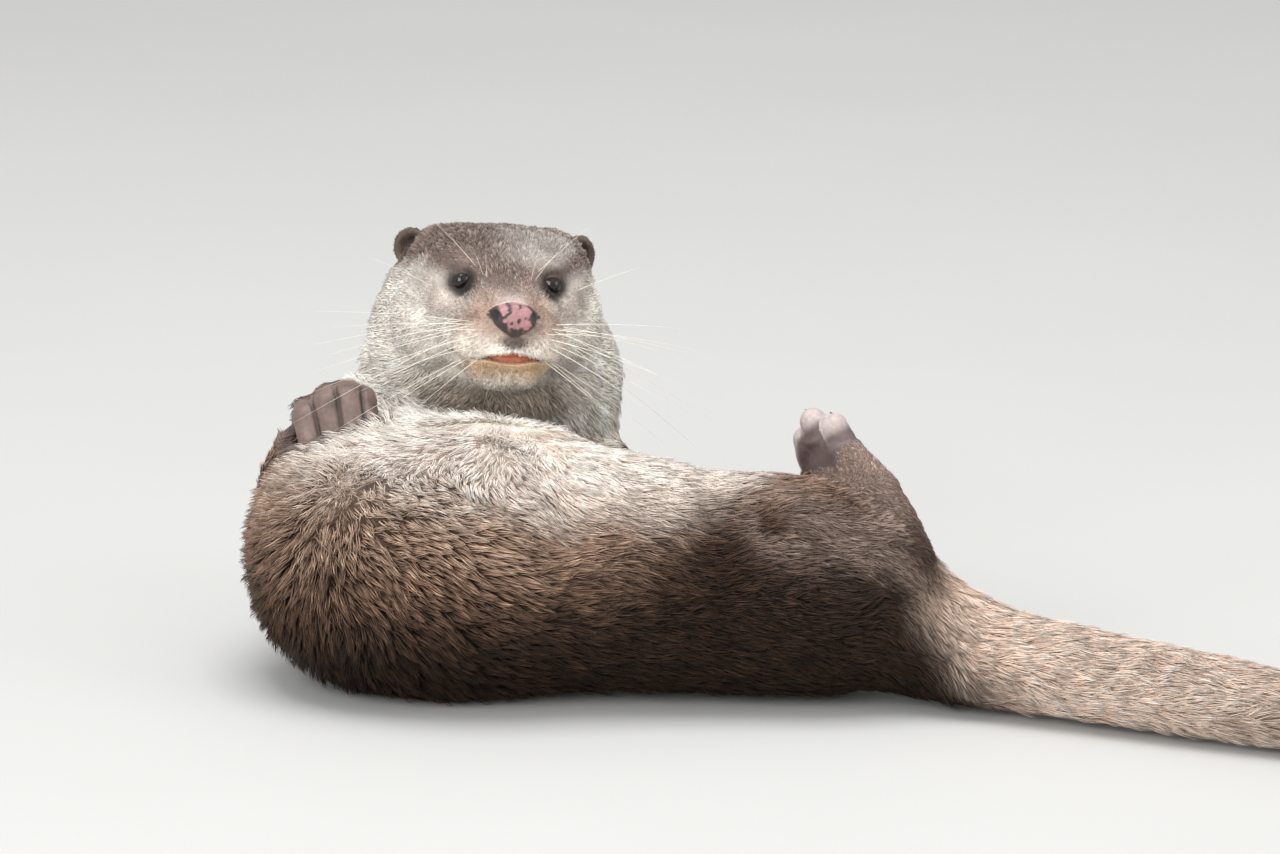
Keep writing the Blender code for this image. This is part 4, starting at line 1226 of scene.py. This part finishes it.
# %% [markdown]
# The tongue fills the parting of the lips: a flat tip with a shallow furrow along its middle, wet and
# salmon.

# %% Tongue
TONGUE_AT, TONGUE_HALF = (0, 0.0325, -0.0282), (0.0140, 0.0085, 0.0052)
bpy.ops.mesh.primitive_uv_sphere_add(segments=36, ring_count=20, radius=1, location=(0, 0, 0))
tongue = bpy.context.object
tongue.name = "tongue_tip"
places = points_of(tongue)
furrow = 1 - 0.10 * np.exp(-((places[:, 0] / 0.12) ** 2)) * (places[:, 2] > -0.2)
places *= np.stack([np.ones(len(places)), furrow, furrow], axis=1)
set_points(tongue, from_head(places * TONGUE_HALF + TONGUE_AT))
face_outward(tongue)
tongue.data.shade_smooth()
wet = Finish("tongue_wet", roughness=0.35)
wet.paint(wet.blend(wet.spread(wet.noise(500, 3), 0.3, 0.7), srgb(172, 98, 72), srgb(200, 124, 98)))
wet.bump(wet.cells(2200), 0.0002, 0.5)
dress(tongue, wet)
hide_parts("tongue")

# %% [markdown]
# A claw is a short curved horn. One is modelled from a ring of points pushed out and narrowed six times,
# and a copy is bent to each toe. Each solid claw shows where its copy belongs: its long axis, and which of
# its ends is the thick one. Those of the hind feet hardly clear the fur.

# %% Claws
CLAW_RINGS = [(0.22, 0.94), (0.45, 0.84), (0.66, 0.68), (0.84, 0.46), (0.96, 0.2)]  # place along, and width
CLAW_CURVE, CLAW_THIN, CLAW_FLAT = 0.28, 0.85, 0.7  # fall at the tip, girth beside the solid's, and width
CLAW_SHARE = {"forepaw": 0.62, "hind_foot": 0.48}  # of the solid claw's length


def ringed(name, sides, rings):
    """A closed spike of unit radius and unit length, with a ring at each place along it."""
    bpy.ops.mesh.primitive_circle_add(vertices=sides, radius=1, fill_type="NGON", location=(0, 0, 0))
    spike = bpy.context.object
    spike.name = name
    bpy.ops.object.mode_set(mode="EDIT")
    bpy.ops.mesh.select_all(action="SELECT")
    done, width = 0.0, 1.0
    for along, wide in rings + [(1.0, 0.02)]:
        bpy.ops.mesh.extrude_region_move(TRANSFORM_OT_translate={"value": (0, 0, along - done)})
        bpy.ops.transform.resize(value=(wide / width, wide / width, 1))
        done, width = along, wide
    bpy.ops.object.mode_set(mode="OBJECT")
    face_outward(spike)
    return spike


def copies_of(pattern, name, shapes):
    """One piece from a pattern and many arrays of its points."""
    faces = [tuple(face.vertices) for face in pattern.data.polygons]
    count = len(pattern.data.vertices)
    mesh = bpy.data.meshes.new(name)
    mesh.from_pydata(
        np.concatenate(shapes).tolist(), [],
        [tuple(corner + count * turn for corner in face) for turn in range(len(shapes)) for face in faces],
    )
    piece = bpy.data.objects.new(name, mesh)
    bpy.context.collection.objects.link(piece)
    bpy.data.objects.remove(pattern)
    face_outward(piece)
    piece.data.shade_smooth()
    return piece


claw_pattern = ringed("claw_pattern", 10, CLAW_RINGS)
unit_claw = points_of(claw_pattern)
claw_shapes = []
for name in CLAWS:
    solid = points_of(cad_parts[name])
    middle = solid.mean(axis=0)
    axis = np.linalg.svd(solid - middle)[2][0]
    along = (solid - middle) @ axis
    off = size_of(solid - middle - along[:, None] * axis)
    if off[along > 0].mean() > off[along < 0].mean():
        axis, along = -axis, -along
    toe = "hind_foot" if "hind_foot" in name else "forepaw"
    length = np.ptp(along) * CLAW_SHARE[toe]
    foot = middle + axis * along.min() - (0, 0, TUCK_HIND * ("hind_foot_left" in name))
    down = unit(np.cross(axis, np.cross(axis, (0, -1, 0.2))))
    side = np.cross(down, axis)
    radius = off.max() * CLAW_THIN
    curve = CLAW_CURVE * length * unit_claw[:, 2] ** 2
    claw_shapes.append(
        foot
        + np.outer(unit_claw[:, 0] * radius * CLAW_FLAT, side)
        + np.outer(unit_claw[:, 1] * radius - curve, -down)
        + np.outer(unit_claw[:, 2] * length, axis)
    )
claws = copies_of(claw_pattern, "claws", claw_shapes)
horn = Finish("claw_horn_finish", roughness=0.38)
horn.paint(horn.blend(horn.spread(horn.noise(900, 3), 0.35, 0.65), srgb(58, 46, 40), srgb(112, 94, 80)))
horn.bump(horn.noise(2600, 2), 0.0001, 0.5)
dress(claws, horn)
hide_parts(*CLAWS)
longest = max(np.ptp(shape, axis=0).max() for shape in claw_shapes)
print("claws:", len(claw_shapes), "longest, mm:", round(1000 * longest, 1))

# %% [markdown]
# The coat is made of locks: each is a closed sliver that rises from its root, leans back along the body
# and ends in a point. The roots are strewn over the skin, closer together where the hair is short. A grid
# of cells keeps two roots from falling on the same spot. Fewer grow where the animal lies on the floor.

# %% Where the hairs grow
HAIRS = (0.0020, 0.0045, 0.0080, 0.0120, 0.0150)  # lengths of hair
ROOM = (0.00080, 0.00086, 0.00102, 0.00116, 0.00120)  # between two roots, for each length
GIRTH = (0.00013, 0.00017, 0.00022, 0.00027, 0.00030)  # half width of a lock, for each length
FEWER = 1.0  # wider apart while trying things
STREWN = 2.4  # roots thrown for each one wanted, because the grid drops many
PRIME = 4099  # turns a cell's three numbers into one
HAIR_FROM_NOSE = [  # distance, and the longest hair there
    (0.008, 0.0020), (0.020, 0.0030), (0.040, 0.0050), (0.075, 0.0085), (0.110, 0.0120),
]
HAIR_FROM_EAR = [(0.012, 0.0024), (0.022, 0.0080), (0.030, 0.0200)]
HAIR_FROM_EYE = [(0.006, 0.0012), (0.012, 0.0024), (0.020, 0.0050), (0.030, 0.0200)]


def face_hair(head, hair):
    """The length of the hair, shortened on the face."""
    left, nose, crown = head.T
    face_length = np.interp(size_of(head - NOSE), *zip(*HAIR_FROM_NOSE))
    face_length *= 1 + 0.8 * ease(-crown, 0.026, 0.042)
    weight = ease(nose, -0.095, -0.055) * near(head, (0, -0.01, 0), 0.105)
    hair = hair * (1 - weight) + np.minimum(hair, face_length) * weight
    for side, ear in EARS.items():
        hair = np.minimum(hair, np.interp(size_of(head - ear), *zip(*HAIR_FROM_EAR)))
        hair = np.minimum(hair, np.interp(size_of(head - EYES_IN_HEAD[side]), *zip(*HAIR_FROM_EYE)))
    return hair


def strew(piece):
    """Roots over the piece: places, normals, and their spots on the map."""
    mesh = piece.data
    mesh.calc_loop_triangles()
    count = len(mesh.loop_triangles)
    corners, loops = np.empty(count * 3, np.int32), np.empty(count * 3, np.int32)
    mesh.loop_triangles.foreach_get("vertices", corners)
    mesh.loop_triangles.foreach_get("loops", loops)
    corners, loops = corners.reshape(-1, 3), loops.reshape(-1, 3)
    spots = np.empty(len(mesh.loops) * 2, np.float32)
    mesh.uv_layers["OFBake"].uv.foreach_get("vector", spots)
    spots = spots.reshape(-1, 2)
    places, facing = points_of(piece), normals_of(piece)
    guide = read_guides(places)
    hair = face_hair(to_head(places), guide.hair)
    room = np.interp(hair, HAIRS, ROOM) * FEWER
    first, second, third = (places[corners[:, k]] for k in range(3))
    area = size_of(np.cross(second - first, third - first)) / 2
    lying = 0.35 + 0.65 * np.maximum(ease(facing[:, 2], -0.75, -0.45), ease(places[:, 2], 0.02, 0.04))
    grows = (1 - bare) * ease(lid_rounds, 1.10, 1.25) * lying
    wanted = STREWN * area / room[corners].mean(axis=1) ** 2 * grows[corners].mean(axis=1)
    chosen = np.repeat(np.arange(count), random.poisson(wanted))
    shares = random.dirichlet((1, 1, 1), len(chosen))

    def mix(values, keys):
        return (values[keys[chosen]] * shares[:, :, None]).sum(axis=1)

    roots, normals = mix(places, corners), mix(facing, corners)
    rooms = mix(room[:, None], corners)[:, 0]
    cells = np.floor(roots / (rooms[:, None] * 0.97)).astype(np.int64)
    level = np.round(np.log(rooms / ROOM[0]) * 12).astype(np.int64)
    keys = ((cells[:, 0] * PRIME + cells[:, 1]) * PRIME + cells[:, 2]) * 64 + level
    kept = np.unique(keys, return_index=True)[1]
    kept = kept[random.permutation(len(kept))]
    return roots[kept], unit(normals[kept]), mix(spots, loops)[kept], mix(hair[:, None], corners)[kept, 0]


roots, root_normals, root_spots, hair = strew(skin)
print("roots:", len(roots), "mean hair, mm:", round(1000 * float(hair.mean()), 1))

# %% [markdown]
# The lie of the coat follows the guides from head to tail and down each leg. On the head it runs back from
# the nose, on the throat down and outwards, and at the shoulder it parts and stands out. It is never
# combed perfectly: it drifts in slow waves, and each lock stands a little differently.

# %% The lie of the coat
SHOULDER = shifted(-0.146, -0.020, 0.106)  # the hair parts here
LIFT, SHOULDER_LIFT = 0.34, 1.10  # how steeply hair rises, and how much more at the shoulder
TAIL_LIES = 0.35  # how much less it rises on the tail
BEFORE_NOSE = (0, 0.056, -0.006)  # on the head, the hair runs away from here


def on_shoulder(places):
    """1 where the body bends sharply and the hair parts and stands out, 0 elsewhere."""
    east, north, _ = (places - SHIFT).T
    return (1 - ease(east, -0.105, -0.035)) * (1 - ease(north, 0.015, 0.065))


def turned_to(way, other, weight):
    """Ways turned towards others, by a weight at each place."""
    return way * (1 - weight[:, None]) + other * weight[:, None]


def lie_of_coat(places, normals):
    guide = read_guides(places)
    head = to_head(places)
    back = unit(head - BEFORE_NOSE) @ HEAD_AXES.T
    on_head = ease(head[:, 1], -0.085, -0.035) * (1 - ease(size_of(head), 0.105, 0.155))
    way = turned_to(guide.way, unit((places - SHOULDER) * (1, 1, 0.6)), on_shoulder(places))
    east, north, up = (places - SHIFT).T
    haunch = ease(east, 0.01, 0.05) * (1 - ease(east, 0.145, 0.175))
    haunch *= (1 - ease(up, 0.108, 0.122)) * (north < 0.02)
    sweep = np.stack([np.ones(len(east)), np.zeros(len(east)), -0.12 - ease(east, 0.105, 0.140)], axis=1)
    way = turned_to(turned_to(way, unit(sweep), haunch), back, on_head)
    fanned = np.stack([head[:, 0] * 30, np.full(len(head), -0.25), np.full(len(head), -1.0)], axis=1)
    throat = patch(head, (0, -2, -56), (62, 34, 24), edge=0.3)
    way = turned_to(way, unit(fanned) @ HEAD_AXES.T, throat)
    swirl = np.stack([ripple(places, 0.035, seed) for seed in (41, 42, 43)], axis=1)
    whorl = np.exp(-(((places - SHOULDER) / 0.018) ** 2).sum(axis=1))[:, None]
    way = unit(way) + 0.16 * swirl + (0.12 + 0.7 * whorl) * random.normal(size=places.shape)
    way -= (way * normals).sum(axis=1, keepdims=True) * normals
    return unit(way)


ways = lie_of_coat(roots, root_normals)
lift = LIFT + 0.07 * ripple(roots, 0.012, 44) + 0.10 * random.normal(size=len(roots))
standing = on_shoulder(roots) * ease(0.15 - roots[:, 2], -0.02, 0.02)
lift = np.clip(lift + SHOULDER_LIFT * standing, 0.10, 1.60)
lift *= np.interp(hair, (0.002, 0.006, 0.012), (0.55, 0.7, 1.0))
lift *= 1 - TAIL_LIES * ease(roots[:, 0] - SHIFT[0], 0.14, 0.19)
length = hair * random.uniform(0.78, 1.18, len(roots))
half = np.interp(hair, HAIRS, GIRTH) * random.uniform(0.7, 1.3, len(roots)) * FEWER**0.8

# %% [markdown]
# Wet or dusty fur gathers: neighbouring locks lean their tips together. Some roots are made leaders, and
# every lock bends its tip part of the way to the tip of the nearest leader.

# %% Locks gather
GATHER = 0.72
LEADERS = 0.15  # share of the roots that lead
MOST_PULL = 0.45  # a tip moves by no more than this share of its lock


def tips_of(share):
    """Where each lock is at a share of its length, before it gathers."""
    rise = lift * share - 0.55 * lift * share**2
    reach = length * share * (1 - 0.12 * share)
    return roots + ways * reach[:, None] + root_normals * (length * rise)[:, None]


leaders = np.flatnonzero(random.random(len(roots)) < LEADERS)
tree = KDTree(len(leaders))
for place, leader in enumerate(leaders):
    tree.insert(roots[leader], place)
tree.balance()
led_by = leaders[[tree.find(root)[1] for root in roots]]
tip = tips_of(1.0)
pull = (tip[led_by] - tip) * GATHER
pull *= np.clip(length * MOST_PULL / (size_of(pull) + 1e-9), 0, 1)[:, None]
print("leaders:", len(leaders), "mean pull, mm:", round(1000 * float(size_of(pull).mean()), 2))

# %% [markdown]
# Leading locks that are long enough get two rings of three points between root and tip, all others a
# single ring. Each point takes the colour of its share of the length, and each lock its own small patch of
# the map, at its root's spot there.

# %% Making the locks
PATCH = 0.003  # width of a lock's patch on the map
BURIED = 0.0004  # how deep a root sits in the skin
# dark roots and light tips are partly the hair's own colour, partly painted shade deep in the coat and
# painted light on the tips
ROOT_DARK = 1.7  # over 1, the root's colour holds further up the lock
LONG = dict(rings=((0.30, 1.0), (0.70, 0.72)), faces=12)
SHORT = dict(rings=((0.40, 1.0),), faces=6)


def lock_faces(rings):
    """Triangles of one lock: point 0 is the root, then three points for each ring, then the tip."""
    turn = ((0, 1), (1, 2), (2, 0))
    faces = [(1 + b, 1 + a, 0) for a, b in turn]
    for ring in range(rings - 1):
        low, high = 1 + 3 * ring, 4 + 3 * ring
        faces += [(low + a, low + b, high + b) for a, b in turn]
        faces += [(low + a, high + b, high + a) for a, b in turn]
    last = 3 * rings - 2
    return np.array(faces + [(last + a, last + b, last + 3) for a, b in turn])


def locks(name, chosen, kind, deep, light):
    """One piece of coat from the chosen roots."""
    normal, way = root_normals[chosen], ways[chosen]
    side = np.cross(normal, way)
    wide, bend = half[chosen][:, None], pull[chosen]
    columns, shades, spots = [roots[chosen] - normal * BURIED], [0.0], [(0.0, -0.5)]
    for share, girth in kind["rings"]:
        middle = tips_of(share)[chosen] + bend * share**2
        for across, up in ((1.0, -0.1), (0.0, 0.62), (-1.0, -0.1)):
            columns.append(middle + side * wide * (girth * across) + normal * wide * (girth * up))
            shades.append(share)
            spots.append((0.5 * across * girth, share - 0.5))
    columns.append(tips_of(1.0)[chosen] + bend)
    shades.append(1.0)
    spots.append((0.0, 0.5))
    points = np.stack(columns, axis=1)
    points[:, :, 2] = np.maximum(points[:, :, 2], 0.0003 + 0.0001 * np.arange(points.shape[1]))
    each = points.shape[1]
    faces = lock_faces(len(kind["rings"]))
    corners = (faces[None] + each * np.arange(len(chosen))[:, None, None]).reshape(-1)
    mesh = bpy.data.meshes.new(name)
    mesh.vertices.add(points.shape[0] * each)
    mesh.vertices.foreach_set("co", points.astype(np.float32).ravel())
    mesh.loops.add(len(corners))
    mesh.loops.foreach_set("vertex_index", corners.astype(np.int32))
    mesh.polygons.add(len(corners) // 3)
    mesh.polygons.foreach_set("loop_start", np.arange(0, len(corners), 3, dtype=np.int32))
    mesh.update(calc_edges=True)
    piece = bpy.data.objects.new(name, mesh)
    bpy.context.collection.objects.link(piece)
    share = np.array(shades)[None, :, None] ** ROOT_DARK
    colours = deep[chosen][:, None] * (1 - share) + light[chosen][:, None] * share
    set_colours(piece, "lock_colour", colours.reshape(-1, 3))
    flat = root_spots[chosen][:, None] + PATCH * np.array(spots)[None]
    layer = mesh.uv_layers.new(name="OFBake")
    layer.uv.foreach_set("vector", np.clip(flat.reshape(-1, 2)[corners], 0, 1).astype(np.float32).ravel())
    mesh.shade_smooth()
    return piece


print("faces of a long and a short lock:", len(lock_faces(2)), len(lock_faces(1)))

# %% [markdown]
# Each lock takes the markings at its root, a little lighter or darker than its neighbours, and shares most
# of that with the locks of its own leader. Dark guard hairs pepper the coat, fewest where it is palest.
# The finish only reads the lock's colour.

# %% Colour of each lock
BY_MOUTH = (0, 0.03, -0.032)  # no pepper round here
OWN_SHADE, SHARED_SHADE = 0.11, 0.24  # how much locks differ, alone and with their leader
deep, light = markings(roots)
varied = random.normal(0, OWN_SHADE, len(roots)) + random.normal(0, SHARED_SHADE, len(roots))[led_by]
by_head = 1 - ease(size_of(to_head(roots)), 0.07, 0.12)
paleness = ease(deep.mean(axis=1), 0.3, 0.6)
pepper = 0.24 - 0.24 * paleness * (1 - by_head) - 0.16 * paleness * by_head
pepper *= ease(size_of(to_head(roots) - BY_MOUTH), 0.020, 0.034)
peppered = random.random(len(roots)) < pepper
light = light * np.exp(varied * (1 - 0.6 * paleness))[:, None]
dark_lock = light * (0.45 + 0.22 * paleness[:, None]) + deep * 0.25
light = np.where(peppered[:, None], dark_lock, light)
coat_finish = Finish("otter_hair", roughness=0.55)
coat_finish.paint(coat_finish.attribute("lock_colour"))
coat_finish.shader.inputs["Specular IOR Level"].default_value = 0.25

# %% [markdown]
# A piece stays light enough to handle, so the coat is dealt out like cards into layers that each cover the
# whole body thinly. The longer leading locks, and the short hair of the face and the feet, get layers of
# their own.

# %% The coat
MOST_FACES = 190_000
LEAD_FROM, SHORT_BELOW = 0.0060, 0.0075  # lengths of hair


def deal(name, which, kind):
    """Layers of locks, none over the limit of faces."""
    chosen = np.flatnonzero(which)
    layers = math.ceil(len(chosen) * kind["faces"] / MOST_FACES)
    for layer in range(layers):
        piece = locks(f"{name}_{layer + 1}", chosen[layer::layers], kind, deep, light)
        dress(piece, coat_finish)
    print(name, "layers:", layers, "locks:", len(chosen), "faces:", len(chosen) * kind["faces"])


leads = np.isin(np.arange(len(roots)), leaders) & (hair > LEAD_FROM)
deal("coat_lead", leads, LONG)
deal("coat_body", ~leads & (hair >= SHORT_BELOW), SHORT)
deal("coat_short", ~leads & (hair < SHORT_BELOW), SHORT)

# %% [markdown]
# Whiskers are long tapered bristles: a fan of them on each lip pad, sweeping out, back and down, a tuft
# over each eye and one on each cheek. One straight bristle is drawn out and then bent along each whisker's
# arc.

# %% Whiskers
Whisker = namedtuple("Whisker", "root way length sag")
WHISKER_GIRTH = 0.00020
LONE_WHISKERS = [  # root, way, length and sag of three over the eye and one on the cheek
    ((16, 12, 13), (0.35, 0.5, 1.0), 28, 5),
    ((19, 10, 14), (0.75, 0.35, 0.8), 36, 7),
    ((13, 13, 12), (0.10, 0.5, 1.0), 22, 4),
    ((39, -8, -4), (0.95, 0.1, 0.5), 36, 6),
]
bristle = ringed("bristle", 6, [(step / 12, 1 - 0.9 * step / 12) for step in range(1, 12)])
unit_bristle = points_of(bristle)


def fan(side):
    """The whiskers of one side of the face, in head directions and millimetres."""
    made = []
    for row, height in enumerate((-14.5, -17.5, -20.5, -23.5)):
        for place in range(4 if row else 3):
            back = place * 4.2 + row * 1.2
            way = (0.80 + 0.04 * place, 0.42 - 0.20 * place, 0.16 - 0.20 * row - 0.05 * place)
            reach = 58 + 12 * place - 3 * abs(row - 1.5)
            made.append(Whisker((side * (17 + 1.3 * place), 41 - back, height), way, reach, 11))
    return made + [Whisker((side * left, *rest), *others) for (left, *rest), *others in LONE_WHISKERS]


def bend_bristle(whisker, side):
    way = HEAD_AXES @ unit(np.array(whisker.way) * (side, 1, 1))
    across = unit(np.cross(way, (0, 0, 1)))
    upward = np.cross(across, way)
    length = whisker.length * MM
    along = unit_bristle[:, 2]
    sag = whisker.sag * MM * along**2
    base = from_head(np.array(whisker.root) * MM)
    base = whiskered[size_of(whiskered - base).argmin()]
    return (
        base
        + np.outer(unit_bristle[:, 0] * WHISKER_GIRTH, across)
        + np.outer(unit_bristle[:, 1] * WHISKER_GIRTH, upward)
        + np.outer((along * 1.03 - 0.03) * length, way)
        - np.outer(sag, HEAD_AXES[:, 1] * 0.7 + HEAD_AXES[:, 2] * 0.7)
    )


whiskered = points_of(skin)
whisker_shapes = []
for side in (1, -1):
    for whisker in fan(side):
        loose = whisker._replace(
            way=tuple(np.array(whisker.way) + random.normal(0, 0.06, 3)),
            length=whisker.length * random.uniform(0.85, 1.15),
        )
        whisker_shapes.append(bend_bristle(loose, side))
whiskers = copies_of(bristle, "whiskers", whisker_shapes)
straw = Finish("whisker_straw", roughness=0.35)
streak = straw.spread(straw.noise(300, 2), 0.3, 0.7)
straw.paint(straw.blend(streak, srgb(226, 216, 196), srgb(250, 246, 236)))
dress(whiskers, straw)
print("whiskers:", len(whisker_shapes))
